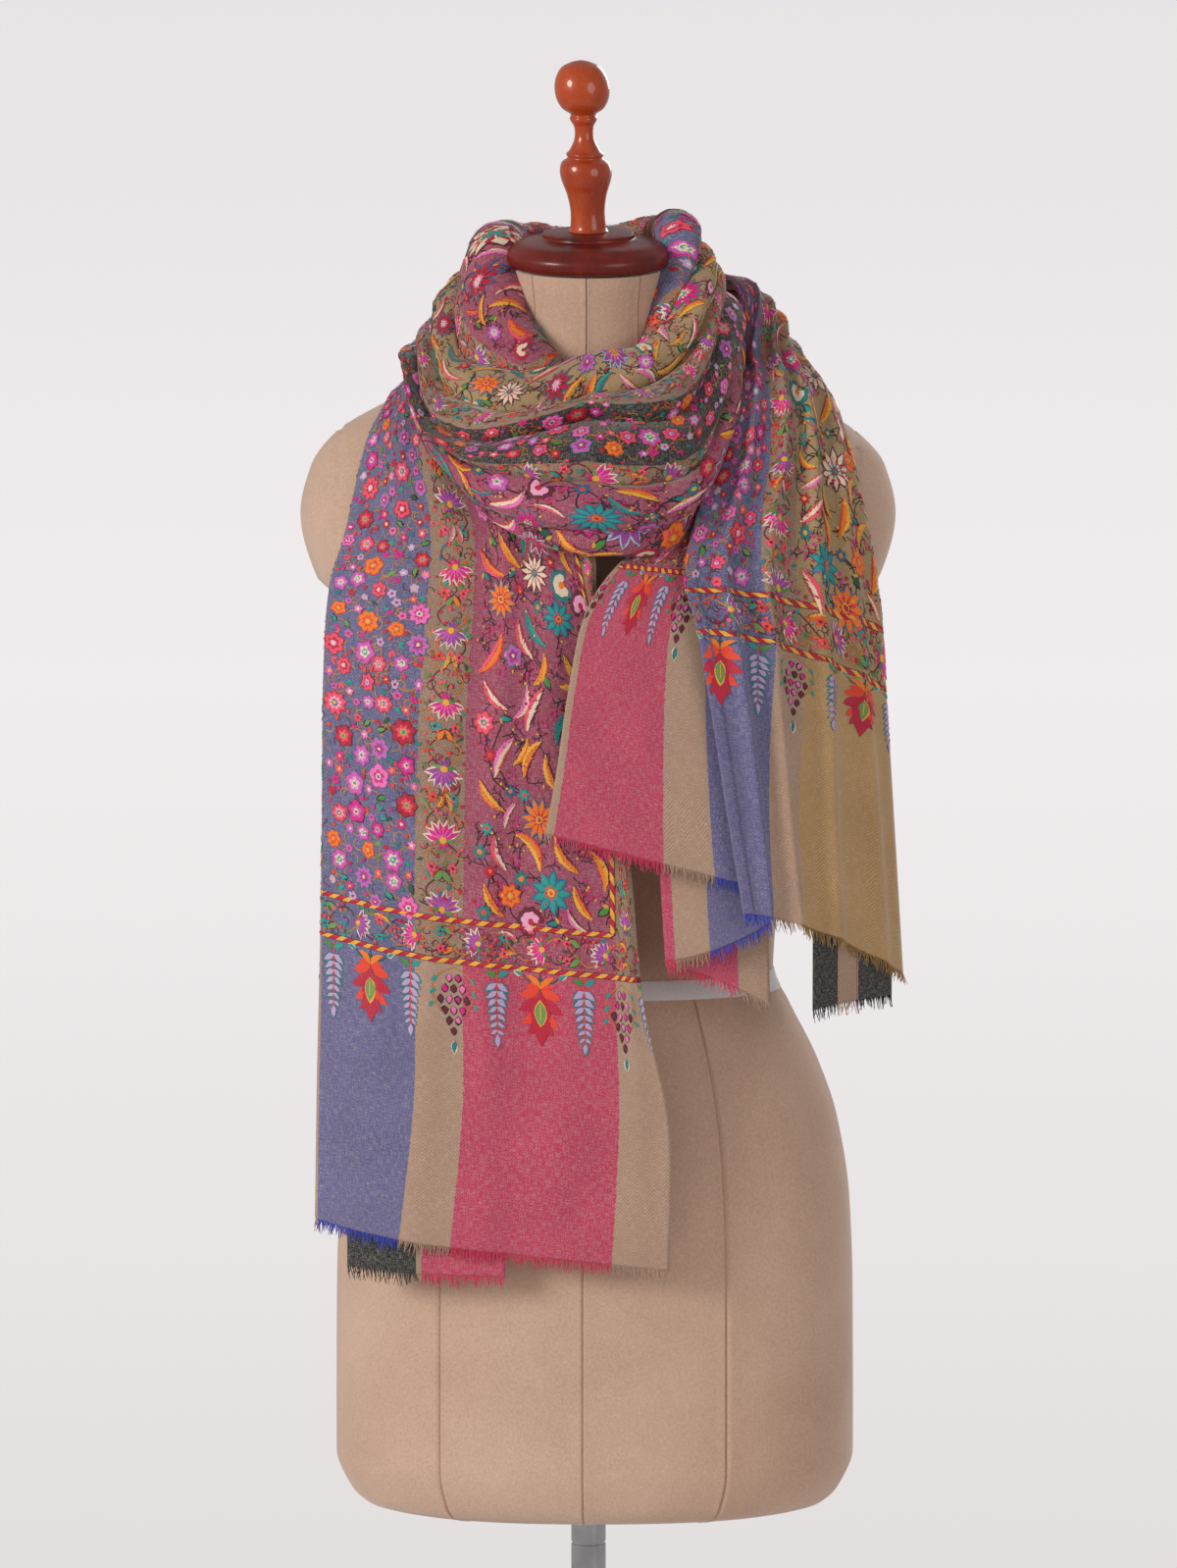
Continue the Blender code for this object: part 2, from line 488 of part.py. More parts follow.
def make_shawl():
    wrap = [wrap_section(p) for p in stations(len(WRAP_SECTIONS), 50)[:-1]]
    cloth_wall("shawl_neck_wrap", wrap, PASHMINA, closed=True)

    rows = stations(len(LEFT_TAIL_ROWS) - 1, 24)
    tail = [left_tail_section(p) for p in rows]
    hang("shawl_left_tail", tail, PASHMINA_BLUE)
    pitches = [row_values(LEFT_TAIL_ROWS, p)[11] for p in rows]
    hang("shawl_left_lower_layer", lower_layer(tail, pitches, **LEFT_LOWER), PASHMINA_BLACK)

    rows = stations(len(RIDGE_ROWS) - 1, 26)
    tail = [panel_section(RIDGE_ROWS, p, 8, folded=True) for p in rows]
    hang("shawl_right_ridge_panel", tail, PASHMINA_MUSTARD)
    pitches = [row_values(RIDGE_ROWS, p)[7] for p in rows]
    hang("shawl_right_lower_outer", lower_layer(tail, pitches, **OUTER_LOWER), PASHMINA_BLACK)

    for name, table, parts, columns, sag, material in (
        ("shawl_right_under_panel", UNDER_ROWS, 14, 8, 1.0, PASHMINA),
        ("shawl_right_lower_front", INNER_FRONT_ROWS, 8, 5, 1.6, PASHMINA_BLUE),
        ("shawl_right_lower_back", INNER_BACK_ROWS, 8, 5, 1.6, PASHMINA),
    ):
        hang(name, [panel_section(table, p, columns, sag) for p in stations(len(table) - 1, parts)], material)


make_form()
make_tape()
make_stand_and_wood()
make_shawl()
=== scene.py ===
# Pashmina shawl wound once round the neck of a dress form, for Blender 4.5.
# Metres, Z up, the form faces -Y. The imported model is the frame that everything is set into.
import functools
import json
import math
from math import cos, pi, sin, tau

import bmesh
import bpy
import numpy as np
from mathutils import Matrix, Vector
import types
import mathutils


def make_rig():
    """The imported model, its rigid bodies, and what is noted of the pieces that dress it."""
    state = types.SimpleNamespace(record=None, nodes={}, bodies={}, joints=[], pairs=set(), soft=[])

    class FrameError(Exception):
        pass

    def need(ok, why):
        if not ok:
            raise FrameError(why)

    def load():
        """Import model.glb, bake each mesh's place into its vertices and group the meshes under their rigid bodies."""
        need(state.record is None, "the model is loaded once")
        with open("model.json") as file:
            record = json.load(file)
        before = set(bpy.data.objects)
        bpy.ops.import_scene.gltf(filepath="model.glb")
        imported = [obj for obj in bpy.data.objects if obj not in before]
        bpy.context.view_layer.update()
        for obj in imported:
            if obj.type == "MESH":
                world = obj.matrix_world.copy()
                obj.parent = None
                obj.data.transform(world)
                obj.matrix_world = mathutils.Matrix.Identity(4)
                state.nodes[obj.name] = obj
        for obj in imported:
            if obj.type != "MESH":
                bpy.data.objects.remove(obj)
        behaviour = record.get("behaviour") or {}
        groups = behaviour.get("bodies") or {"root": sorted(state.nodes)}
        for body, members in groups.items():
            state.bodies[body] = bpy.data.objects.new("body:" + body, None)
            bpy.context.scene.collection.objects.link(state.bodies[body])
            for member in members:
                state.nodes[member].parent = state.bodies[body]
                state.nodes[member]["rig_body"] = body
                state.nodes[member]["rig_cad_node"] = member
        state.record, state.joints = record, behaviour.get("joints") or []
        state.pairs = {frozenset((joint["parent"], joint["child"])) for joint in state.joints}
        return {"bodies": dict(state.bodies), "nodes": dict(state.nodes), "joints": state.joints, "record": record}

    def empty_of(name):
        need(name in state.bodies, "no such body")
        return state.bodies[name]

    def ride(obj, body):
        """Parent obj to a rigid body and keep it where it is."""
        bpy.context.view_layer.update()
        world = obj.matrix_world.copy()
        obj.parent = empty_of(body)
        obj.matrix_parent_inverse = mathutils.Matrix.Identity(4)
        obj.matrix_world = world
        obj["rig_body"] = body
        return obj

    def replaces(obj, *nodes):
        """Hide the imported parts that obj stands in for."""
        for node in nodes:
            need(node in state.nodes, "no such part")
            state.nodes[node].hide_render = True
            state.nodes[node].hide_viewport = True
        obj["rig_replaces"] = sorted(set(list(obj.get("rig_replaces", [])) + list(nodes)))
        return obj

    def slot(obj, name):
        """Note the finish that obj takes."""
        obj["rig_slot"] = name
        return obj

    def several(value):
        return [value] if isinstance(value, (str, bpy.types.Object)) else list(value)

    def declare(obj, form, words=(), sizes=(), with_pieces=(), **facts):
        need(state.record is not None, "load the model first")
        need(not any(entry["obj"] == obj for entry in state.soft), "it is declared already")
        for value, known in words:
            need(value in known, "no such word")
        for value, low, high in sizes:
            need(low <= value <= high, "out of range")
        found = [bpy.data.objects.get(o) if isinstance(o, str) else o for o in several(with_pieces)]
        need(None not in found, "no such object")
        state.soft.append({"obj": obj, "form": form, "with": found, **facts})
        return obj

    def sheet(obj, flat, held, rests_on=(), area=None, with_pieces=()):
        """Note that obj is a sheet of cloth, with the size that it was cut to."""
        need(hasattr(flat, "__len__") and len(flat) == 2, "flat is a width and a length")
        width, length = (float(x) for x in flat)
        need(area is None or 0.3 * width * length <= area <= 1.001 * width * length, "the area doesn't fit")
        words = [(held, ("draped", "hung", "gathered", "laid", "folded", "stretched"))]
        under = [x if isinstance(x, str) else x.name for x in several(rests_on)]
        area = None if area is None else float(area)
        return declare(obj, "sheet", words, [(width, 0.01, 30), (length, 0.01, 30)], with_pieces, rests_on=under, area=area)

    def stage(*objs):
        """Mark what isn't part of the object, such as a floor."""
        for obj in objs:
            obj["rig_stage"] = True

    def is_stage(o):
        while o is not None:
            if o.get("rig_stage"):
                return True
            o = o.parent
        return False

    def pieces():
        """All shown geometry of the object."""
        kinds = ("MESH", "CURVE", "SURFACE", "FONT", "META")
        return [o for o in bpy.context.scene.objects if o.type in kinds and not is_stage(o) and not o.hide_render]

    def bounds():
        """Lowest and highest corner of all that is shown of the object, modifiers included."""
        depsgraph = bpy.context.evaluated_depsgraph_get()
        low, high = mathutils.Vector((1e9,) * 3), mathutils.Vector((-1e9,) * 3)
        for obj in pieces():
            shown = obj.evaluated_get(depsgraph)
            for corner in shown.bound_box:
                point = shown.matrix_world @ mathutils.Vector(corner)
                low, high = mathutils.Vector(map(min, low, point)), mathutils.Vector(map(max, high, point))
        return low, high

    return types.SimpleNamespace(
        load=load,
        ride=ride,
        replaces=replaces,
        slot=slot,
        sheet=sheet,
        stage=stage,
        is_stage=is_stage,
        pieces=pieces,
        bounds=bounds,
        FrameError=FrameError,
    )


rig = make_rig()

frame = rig.load()
cadLow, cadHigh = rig.bounds()
print("frame: loaded", len(frame["nodes"]), "nodes")

# camera first, then light, so that every later look is a fair one
cameraSetup = {"distance": 4.5, "pitchDegrees": 5.0, "aimHeight": 1.18, "lens": 163.5, "sensor": 36.0}
lampSetup = (
    # name, place, aim height, size, watts, colour
    ("keyLamp", (-3.1, -2.4, 2.3), 1.15, 1.5, 98, (1.0, 0.975, 0.95)),
    ("fillLamp", (2.6, -3.2, 1.6), 1.10, 2.4, 34, (1.0, 0.985, 0.97)),
    ("backLamp", (1.6, 3.2, 2.6), 1.15, 2.0, 46, (1.0, 0.985, 0.97)),
)
roomSetup = {
    # backdrop colours above, across the middle of and below the view; the brighter middle is a painted pool of light
    # on the paper
    "upper": "E6E2E3", "middle": "F1EDEE", "lower": "E2DDDD", "lightStrength": 0.46, "floorRadius": 3.0,
}


def linear(code):
    # display colour, as six hexadecimal digits, to the linear values that shaders take
    parts = [int(code[n:n + 2], 16) / 255 for n in (0, 2, 4)]
    return tuple(p / 12.92 if p <= 0.04045 else ((p + 0.055) / 1.055) ** 2.4 for p in parts)


def addNode(tree, kind, inputs=None, **settings):
    node = tree.nodes.new(kind)
    for key, value in settings.items():
        setattr(node, key, value)
    for key, value in (inputs or {}).items():
        if isinstance(value, bpy.types.NodeSocket):
            tree.links.new(value, node.inputs[key])
        else:
            node.inputs[key].default_value = value
    return node


def mathOf(tree, operation, first, second=0.5, third=0.5):
    node = addNode(tree, "ShaderNodeMath", {0: first, 1: second, 2: third}, operation=operation)
    return node.outputs[0]


def fillRamp(node, stops, steps=False):
    ramp = node.color_ramp
    ramp.interpolation = "CONSTANT" if steps else "LINEAR"
    while len(ramp.elements) < len(stops):
        ramp.elements.new(1.0)
    for element, (place, colour) in zip(ramp.elements, stops):
        element.position = place
        element.color = (*colour, 1.0)
    return node


def mixColour(tree, factor, first, second, blend="MIX"):
    node = addNode(tree, "ShaderNodeMix", data_type="RGBA", blend_type=blend)
    for socket, value in ((0, factor), (6, first), (7, second)):
        if isinstance(value, bpy.types.NodeSocket):
            tree.links.new(value, node.inputs[socket])
        else:
            node.inputs[socket].default_value = value if socket == 0 else (*value, 1.0)[:4]
    return node.outputs[2]


def noise(tree, place, scale, detail=2.0, **more):
    inputs = {"Vector": place, "Scale": scale, "Detail": detail, **more}
    return addNode(tree, "ShaderNodeTexNoise", inputs).outputs[0]


def ranged(tree, value, low, high, start=0.0, end=1.0, course="LINEAR"):
    # value as it goes from start to end becomes low to high
    inputs = {"Value": value, "From Min": start, "From Max": end, "To Min": low, "To Max": high}
    return addNode(tree, "ShaderNodeMapRange", inputs, interpolation_type=course).outputs[0]


def ramp(tree, factor, *stops):
    node = addNode(tree, "ShaderNodeValToRGB", {0: factor})
    return fillRamp(node, [(place, linear(code)) for place, code in stops]).outputs[0]


def shaded(tree, colour, tone):
    return addNode(tree, "ShaderNodeVectorMath", {0: colour, 3: tone}, operation="SCALE").outputs[0]


def raised(tree, height, strength, distance, under=None):
    inputs = {"Height": height, "Strength": strength, "Distance": distance}
    if under:
        inputs["Normal"] = under
    return addNode(tree, "ShaderNodeBump", inputs).outputs[0]


def objectPlace(tree):
    return addNode(tree, "ShaderNodeTexCoord").outputs["Object"]


def dress(material, colour, normal=None, **others):
    # what a material ends in: its colour, its bump and whatever else a socket is named for
    shader = material.node_tree.nodes["Principled BSDF"]
    for label, socket in {"Base Color": colour, "Normal": normal, **others}.items():
        if socket:
            material.node_tree.links.new(socket, shader.inputs[label])
    return material


def makeCameraAndLight():
    scene = bpy.context.scene
    scene.view_settings.view_transform = "Standard"
    pitch = math.radians(cameraSetup["pitchDegrees"])
    lens = bpy.data.cameras.new("studioCamera")
    lens.lens = cameraSetup["lens"]
    lens.sensor_width = cameraSetup["sensor"]
    camera = bpy.data.objects.new("studioCamera", lens)
    scene.collection.objects.link(camera)
    away = cameraSetup["distance"]
    camera.location = (0, -away * cos(pitch), cameraSetup["aimHeight"] + away * sin(pitch))
    camera.rotation_euler = (pi / 2 - pitch, 0, 0)
    scene.camera = camera
    for name, place, aim, size, watts, colour in lampSetup:
        light = bpy.data.lights.new(name, "AREA")
        light.shape = "DISK"
        light.size = size
        light.energy = watts
        light.color = colour
        lamp = bpy.data.objects.new(name, light)
        lamp.location = place
        lamp.rotation_euler = (Vector((0, 0, aim)) - Vector(place)).to_track_quat("-Z", "Y").to_euler()
        scene.collection.objects.link(lamp)
    world = bpy.data.worlds.new("studioPaper")
    scene.world = world
    world.use_nodes = True
    tree = world.node_tree
    tree.nodes.clear()
    direction = addNode(tree, "ShaderNodeTexCoord").outputs["Generated"]
    height = addNode(tree, "ShaderNodeSeparateXYZ", {0: direction}).outputs["Z"]
    # the backdrop is painted brighter across the middle of the view and darker above and below it, a painted pool of
    # light
    paper = ramp(tree, ranged(tree, height, 0.0, 1.0, -0.21, 0.04),
                 (0.0, roomSetup["lower"]), (0.55, roomSetup["middle"]), (1.0, roomSetup["upper"]))
    seen = addNode(tree, "ShaderNodeLightPath").outputs["Is Camera Ray"]
    strength = ranged(tree, seen, roomSetup["lightStrength"], 1.0)
    glow = addNode(tree, "ShaderNodeBackground", {"Color": paper, "Strength": strength})
    addNode(tree, "ShaderNodeOutputWorld", {"Surface": glow.outputs[0]})


makeCameraAndLight()
print("camera and light: set")


# smooth tables and sheets of points
def through(values, positions, closed=False):
    # a smooth curve through equally spaced rows of values
    values = np.asarray(values, float)
    positions = np.asarray(positions, float)
    count = len(values)
    last = count if closed else count - 1
    step = np.clip(np.floor(positions).astype(int), 0, last - 1)
    t = (positions - step).reshape(positions.shape + (1,) * (values.ndim - 1))

    def pick(index):
        return values[index % count] if closed else values[np.clip(index, 0, last)]

    a, b, c, d = (pick(step + n) for n in (-1, 0, 1, 2))
    return b + 0.5 * t * (c - a + t * (2 * a - 5 * b + 4 * c - d + t * (3 * (b - c) + d - a)))


def between(keys, values, key):
    # a curve through values at rising keys that never overshoots them
    keys, values = np.asarray(keys, float), np.asarray(values, float)
    key = np.clip(np.asarray(key, float), keys[0], keys[-1])
    width = np.diff(keys)
    rise = np.diff(values) / width
    slope = np.concatenate([rise[:1], np.zeros(len(rise) - 1), rise[-1:]])
    same = rise[:-1] * rise[1:] > 0
    slope[1:-1][same] = 2 / (1 / rise[:-1][same] + 1 / rise[1:][same])
    i = np.clip(np.searchsorted(keys, key, side="right") - 1, 0, len(width) - 1)
    t = (key - keys[i]) / width[i]
    h00, h10 = 2 * t**3 - 3 * t**2 + 1, t**3 - 2 * t**2 + t
    h01, h11 = 3 * t**2 - 2 * t**3, t**3 - t**2
    return h00 * values[i] + h10 * width[i] * slope[i] + h01 * values[i + 1] + h11 * width[i] * slope[i + 1]


def gridNormals(points, side=1.0):
    down = np.gradient(points, axis=0)
    across = np.gradient(points, axis=1)
    normals = np.cross(down, across) * side
    return normals / np.maximum(np.linalg.norm(normals, axis=2, keepdims=True), 1e-12)


def addPiece(name, mesh, material, smoothAngle=180):
    mesh.materials.clear()
    mesh.materials.append(material)
    mesh.shade_smooth()
    if smoothAngle < 180:
        mesh.set_sharp_from_angle(angle=math.radians(smoothAngle))
    piece = bpy.data.objects.new(name, mesh)
    bpy.context.scene.collection.objects.link(piece)
    return piece


def setIn(piece, slot, *nodes):
    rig.ride(piece, "root")
    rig.slot(piece, slot)
    if nodes:
        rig.replaces(piece, *nodes)
    return piece


# shader groups and materials
def newGroup(name, inputs, outputs):
    group = bpy.data.node_groups.new(name, "ShaderNodeTree")
    for label, kind, start in inputs:
        socket = group.interface.new_socket(name=label, in_out="INPUT", socket_type=kind)
        if start is not None:
            socket.default_value = start
    for label, kind in outputs:
        group.interface.new_socket(name=label, in_out="OUTPUT", socket_type=kind)
    return group, group.nodes.new("NodeGroupInput"), group.nodes.new("NodeGroupOutput")


def makeTwillGroup():
    # herringbone twill: slanting ribs that turn back at each chevron, as a height from 0 to 1
    group, given, result = newGroup(
        "twillWeave", (("Vector", "NodeSocketVector", None), ("Rib Pitch", "NodeSocketFloat", 0.0012),
                       ("Chevron Width", "NodeSocketFloat", 0.008)),
        (("Height", "NodeSocketFloat"),))
    split = addNode(group, "ShaderNodeSeparateXYZ", {0: given.outputs["Vector"]})
    half = mathOf(group, "MULTIPLY", given.outputs["Chevron Width"], 0.5)
    slant = mathOf(group, "PINGPONG", split.outputs["X"], half)
    run = mathOf(group, "ADD", slant, split.outputs["Y"])
    turns = mathOf(group, "DIVIDE", run, given.outputs["Rib Pitch"])
    wave = mathOf(group, "SINE", mathOf(group, "MULTIPLY", turns, tau))
    group.links.new(mathOf(group, "MULTIPLY_ADD", wave, 0.5, 0.5), result.inputs["Height"])
    return group


def makeHeatherGroup():
    # pale slubs that run along both threads, and a slow drift of tone
    group, given, result = newGroup(
        "heather", (("Vector", "NodeSocketVector", None), ("Fineness", "NodeSocketFloat", 1500.0)),
        (("Flecks", "NodeSocketFloat"), ("Drift", "NodeSocketFloat")))
    threads = []
    for stretch in ((1.0, 0.14, 1.0), (0.14, 1.0, 1.0)):
        place = addNode(group, "ShaderNodeVectorMath", {0: given.outputs["Vector"], 1: stretch},
                        operation="MULTIPLY")
        threads.append(noise(group, place.outputs[0], given.outputs["Fineness"], 1.0))
    flecks = ranged(group, mathOf(group, "MULTIPLY", *threads), 0.0, 1.0, 0.19, 0.40)
    group.links.new(flecks, result.inputs["Flecks"])
    group.links.new(noise(group, given.outputs["Vector"], 22.0, 3.0), result.inputs["Drift"])
    return group


twillGroup = makeTwillGroup()
heatherGroup = makeHeatherGroup()

# stripes across the shawl: where each one ends, in metres from the left tail's selvedge, and what it is
stripeSetup = (
    (0.035, "beige"), (0.135, "pink"), (0.165, "beige"), (0.235, "blue"), (0.265, "beige"),
    (0.365, "mustard"), (0.395, "beige"), (0.465, "black"), (0.495, "beige"), (0.595, "pink"),
    (0.625, "beige"), (0.695, "blue"), (0.725, "beige"), (0.825, "mustard"), (0.855, "beige"),
    (0.925, "black"), (0.960, "beige"),
)
groundColours = {
    # plain ends, worked field, loose threads
    "beige": ("B08F78", "967863", "B3947A"),
    "pink": ("C04060", "A04660", "DE2E5C"),
    "blue": ("67648F", "62628A", "3B4CC4"),
    "mustard": ("BC9562", "A88A5E", "A88448"),
    "black": ("262827", "2B2C2C", "121414"),
}


def stripeRamp(tree, factor, which):
    starts = [0.0] + [end for end, _ in stripeSetup[:-1]]
    stops = [(start, linear(groundColours[kind][which])) for start, (_, kind) in zip(starts, stripeSetup)]
    return fillRamp(addNode(tree, "ShaderNodeValToRGB", {0: factor}), stops, steps=True).outputs[0]


def newMaterial(name, **shaderValues):
    # names of sockets are given with _ for each space
    material = bpy.data.materials.new(name)
    material.use_nodes = True
    tree = material.node_tree
    for key, value in shaderValues.items():
        tree.nodes["Principled BSDF"].inputs[key.replace("_", " ")].default_value = value
    return material, tree


def makeClothMaterial():
    material, tree = newMaterial("pashminaCloth", Roughness=0.88, Sheen_Weight=0.35,
                                         Sheen_Roughness=0.45, Specular_IOR_Level=0.25)
    cloth = addNode(tree, "ShaderNodeUVMap", uv_map="ClothUV").outputs[0]
    split = addNode(tree, "ShaderNodeSeparateXYZ", {0: cloth})
    ribs = addNode(tree, "ShaderNodeGroup", {"Vector": cloth, "Rib Pitch": 0.0021, "Chevron Width": 0.011},
                   node_tree=twillGroup).outputs["Height"]
    wool = addNode(tree, "ShaderNodeGroup", {"Vector": cloth}, node_tree=heatherGroup)
    # the border between stripes wanders by about half a millimetre
    stray = mathOf(tree, "SUBTRACT", noise(tree, cloth, 420.0), 0.5)
    across = mathOf(tree, "MULTIPLY_ADD", stray, 0.0018, split.outputs["X"])
    field = ranged(tree, split.outputs["Y"], 0.0, 1.0, 0.174, 0.182)
    ground = mixColour(tree, field, stripeRamp(tree, across, 0), stripeRamp(tree, across, 1))
    pale = mixColour(tree, mathOf(tree, "MULTIPLY", wool.outputs["Flecks"], 0.24), ground, linear("D9CFC6"))
    drift = ranged(tree, wool.outputs["Drift"], 0.92, 1.08, 0.3, 0.7)
    # painted shade: the colour is darkened in the hollows between the twill ribs and lightened on their crests, times
    # a real slow drift of the wool's tone
    tone = mathOf(tree, "MULTIPLY", ranged(tree, ribs, 0.80, 1.10), drift)
    weave = raised(tree, ribs, 0.30, 0.0003)
    relief = raised(tree, wool.outputs["Flecks"], 0.25, 0.0003, weave)
    return dress(material, shaded(tree, pale, tone), relief)


def makeStitchMaterial():
    material, tree = newMaterial("silkStitch", Roughness=0.55, Sheen_Weight=0.25,
                                         Sheen_Roughness=0.35, Specular_IOR_Level=0.45)
    colour = addNode(tree, "ShaderNodeVertexColor", layer_name="Stitch").outputs[0]
    thread = addNode(tree, "ShaderNodeUVMap", uv_map="ThreadUV").outputs[0]
    split = addNode(tree, "ShaderNodeSeparateXYZ", {0: thread})
    lines = mathOf(tree, "SINE", mathOf(tree, "MULTIPLY", split.outputs["X"], tau / 0.0009))
    patchy = mathOf(tree, "MULTIPLY_ADD", noise(tree, thread, 900.0, 1.0), 0.5, 0.73)
    # painted sheen and shade: each stitch is painted lighter along its crown and darker between stitches, added to a
    # real patchy unevenness of the silk
    tone = mathOf(tree, "ADD", mathOf(tree, "MULTIPLY", lines, 0.10), patchy)
    return dress(material, shaded(tree, colour, tone), raised(tree, lines, 0.35, 0.0002))


def makeFringeMaterial():
    material, tree = newMaterial("looseWool", Roughness=0.9, Sheen_Weight=0.4, Sheen_Roughness=0.4)
    place = addNode(tree, "ShaderNodeAttribute", attribute_name="clothPlace").outputs["Fac"]
    tone = mathOf(tree, "MULTIPLY_ADD", noise(tree, objectPlace(tree), 700.0, 1.0), 0.7, 0.65)
    return dress(material, shaded(tree, stripeRamp(tree, place, 2), tone))


def makeSuedeMaterial():
    material, tree = newMaterial("formSuede", Roughness=0.93, Sheen_Weight=0.30,
                                         Sheen_Roughness=0.5, Specular_IOR_Level=0.2)
    spot = objectPlace(tree)
    nap = noise(tree, spot, 650.0)
    base = ramp(tree, noise(tree, spot, 9.0, 4.0, Roughness=0.6), (0.30, "C19F88"), (0.52, "CAA992"),
                (0.72, "D0B19B"))
    grain = ranged(tree, nap, 0.90, 1.08, 0.3, 0.7)
    return dress(material, shaded(tree, base, grain), raised(tree, nap, 0.35, 0.0005))


def makeWoodMaterial(name, dark, light, figure, polish):
    material, tree = newMaterial(name, Roughness=0.38, Coat_Weight=polish, Coat_Roughness=0.06,
                                         Specular_IOR_Level=0.3)
    inputs = {"Vector": objectPlace(tree), "Scale": (1.0, 1.0, 0.22)}
    along = addNode(tree, "ShaderNodeMapping", inputs).outputs[0]
    grain = mathOf(tree, "MULTIPLY", noise(tree, along, figure, 5.0, Distortion=0.8), 0.8)
    fine = noise(tree, along, 900.0)
    mixed = mathOf(tree, "MULTIPLY_ADD", fine, 0.25, grain)
    return dress(material, ramp(tree, mixed, (0.34, dark), (0.66, light)), raised(tree, fine, 0.05, 0.0004))


def makeChromeMaterial():
    material, tree = newMaterial("chromeTube", Metallic=1.0)
    wear = noise(tree, objectPlace(tree), 60.0, 4.0)
    shine = ranged(tree, wear, 0.10, 0.24)
    return dress(material, ramp(tree, wear, (0.3, "BFBFC2"), (0.7, "DADADC")), Roughness=shine)


def makeTapeMaterial():
    material, tree = newMaterial("cottonTape", Roughness=0.85, Sheen_Weight=0.2)
    weave = addNode(tree, "ShaderNodeGroup",
                    {"Vector": objectPlace(tree), "Rib Pitch": 0.0011, "Chevron Width": 0.004},
                    node_tree=twillGroup).outputs["Height"]
    # painted shade: the white tape is darkened in the hollows of its weave
    return dress(material, shaded(tree, linear("E9E5E3"), ranged(tree, weave, 0.88, 1.0)),
                 raised(tree, weave, 0.4, 0.0003))


def makeFloorMaterial():
    # paper that fades out towards its edge, so that it has no visible end
    material, tree = newMaterial("floorPaper", Roughness=0.9)
    spot = objectPlace(tree)
    reach = addNode(tree, "ShaderNodeVectorMath", {0: spot}, operation="LENGTH").outputs["Value"]
    fade = ranged(tree, reach, 1.0, 0.0, 0.7, 2.9, "SMOOTHSTEP")
    return dress(material, ramp(tree, noise(tree, spot, 3.0), (0.3, "E2DEDC"), (0.7, "E6E2E0")), Alpha=fade)


clothMaterial = makeClothMaterial()
stitchMaterial = makeStitchMaterial()
fringeMaterial = makeFringeMaterial()
suedeMaterial = makeSuedeMaterial()
capWood = makeWoodMaterial("turnedWoodDark", "4A0F0A", "7A2014", 34.0, 0.22)
finialWood = makeWoodMaterial("turnedWoodWarm", "962C06", "C4501A", 26.0, 0.65)
chromeMaterial = makeChromeMaterial()
tapeMaterial = makeTapeMaterial()
print("materials: made")

# the dress form: rings from its sizes at each height, with its seams as grooves
formSetup = {
    # height, half width, front, back, middle's x, lean
    "sections": (
        (0.7210, 0.1300, 0.078, 0.088, 0.004, 0.00), (0.7250, 0.1460, 0.090, 0.100, 0.004, 0.00),
        (0.7350, 0.1560, 0.098, 0.109, 0.004, 0.00), (0.7560, 0.1640, 0.104, 0.115, 0.004, 0.00),
        (0.8600, 0.1635, 0.106, 0.118, 0.004, 0.00), (0.9180, 0.1612, 0.105, 0.115, 0.004, 0.00),
        (0.9680, 0.1535, 0.100, 0.105, 0.004, 0.00), (1.0050, 0.1410, 0.094, 0.094, 0.004, 0.00),
        (1.0420, 0.1225, 0.087, 0.083, 0.004, 0.00), (1.0640, 0.1125, 0.083, 0.079, 0.004, 0.00),
        (1.0900, 0.1140, 0.084, 0.080, 0.004, 0.00), (1.1500, 0.1260, 0.093, 0.086, 0.004, 0.00),
        (1.2200, 0.1430, 0.110, 0.092, 0.005, 0.00), (1.2850, 0.1560, 0.119, 0.096, 0.005, 0.00),
        (1.2990, 0.1640, 0.118, 0.096, 0.006, 0.00), (1.3120, 0.1770, 0.115, 0.096, 0.006, 0.00),
        (1.3520, 0.1870, 0.098, 0.092, 0.006, 0.00), (1.3820, 0.1800, 0.081, 0.083, 0.006, 0.00),
        (1.4020, 0.1640, 0.069, 0.074, 0.005, 0.00), (1.4170, 0.1390, 0.060, 0.066, 0.004, 0.00),
        (1.4320, 0.1020, 0.054, 0.058, 0.002, 0.01), (1.4400, 0.0720, 0.051, 0.055, 0.001, 0.03),
        (1.4480, 0.0530, 0.050, 0.051, 0.000, 0.05), (1.4620, 0.0455, 0.049, 0.046, 0.000, 0.07),
        (1.4800, 0.0450, 0.050, 0.041, 0.000, 0.10), (1.5070, 0.0480, 0.055, 0.040, 0.000, 0.14)),
    "roundness": 2.3, "rowStep": 0.004, "hemRings": (0.7215, 0.723, 0.7265, 0.7305),
    "seamDepth": 0.0011, "seamPucker": 0.0004, "widest": 0.1635,
    # each armhole seam: its distance from the middle, half width of its groove, lowest point
    "armholeX": 0.162, "armholeMiddle": 0.006, "armholeGroove": 0.0025, "armholeLow": 1.285,
    "armholeFrom": 0.13,
    # x of each seam where the form is widest: middle and princess seams, in front and behind
    "frontSeams": (-0.0927, -0.0036, 0.0855), "backSeams": (-0.080, 0.004, 0.088),
    "tapeLow": 1.052, "tapeWidth": 0.012, "tapeWall": 0.0011, "neckSlope": 0.14,
}


def formValues(height):
    keys = [row[0] for row in formSetup["sections"]]
    return [between(keys, [row[c] for row in formSetup["sections"]], height) for c in range(1, 6)]


def formPoints(height, angle, proud=0.0):
    wide, front, back, sway, lean = formValues(height)
    cosine, sine = np.cos(angle), np.sin(angle)
    power = 2 / formSetup["roundness"]
    deep = np.where(sine < 0, front, back) + proud
    x = (wide + proud) * np.sign(cosine) * np.abs(cosine) ** power
    y = deep * np.sign(sine) * np.abs(sine) ** power
    return np.stack([sway + x, y, height + lean * y], -1)


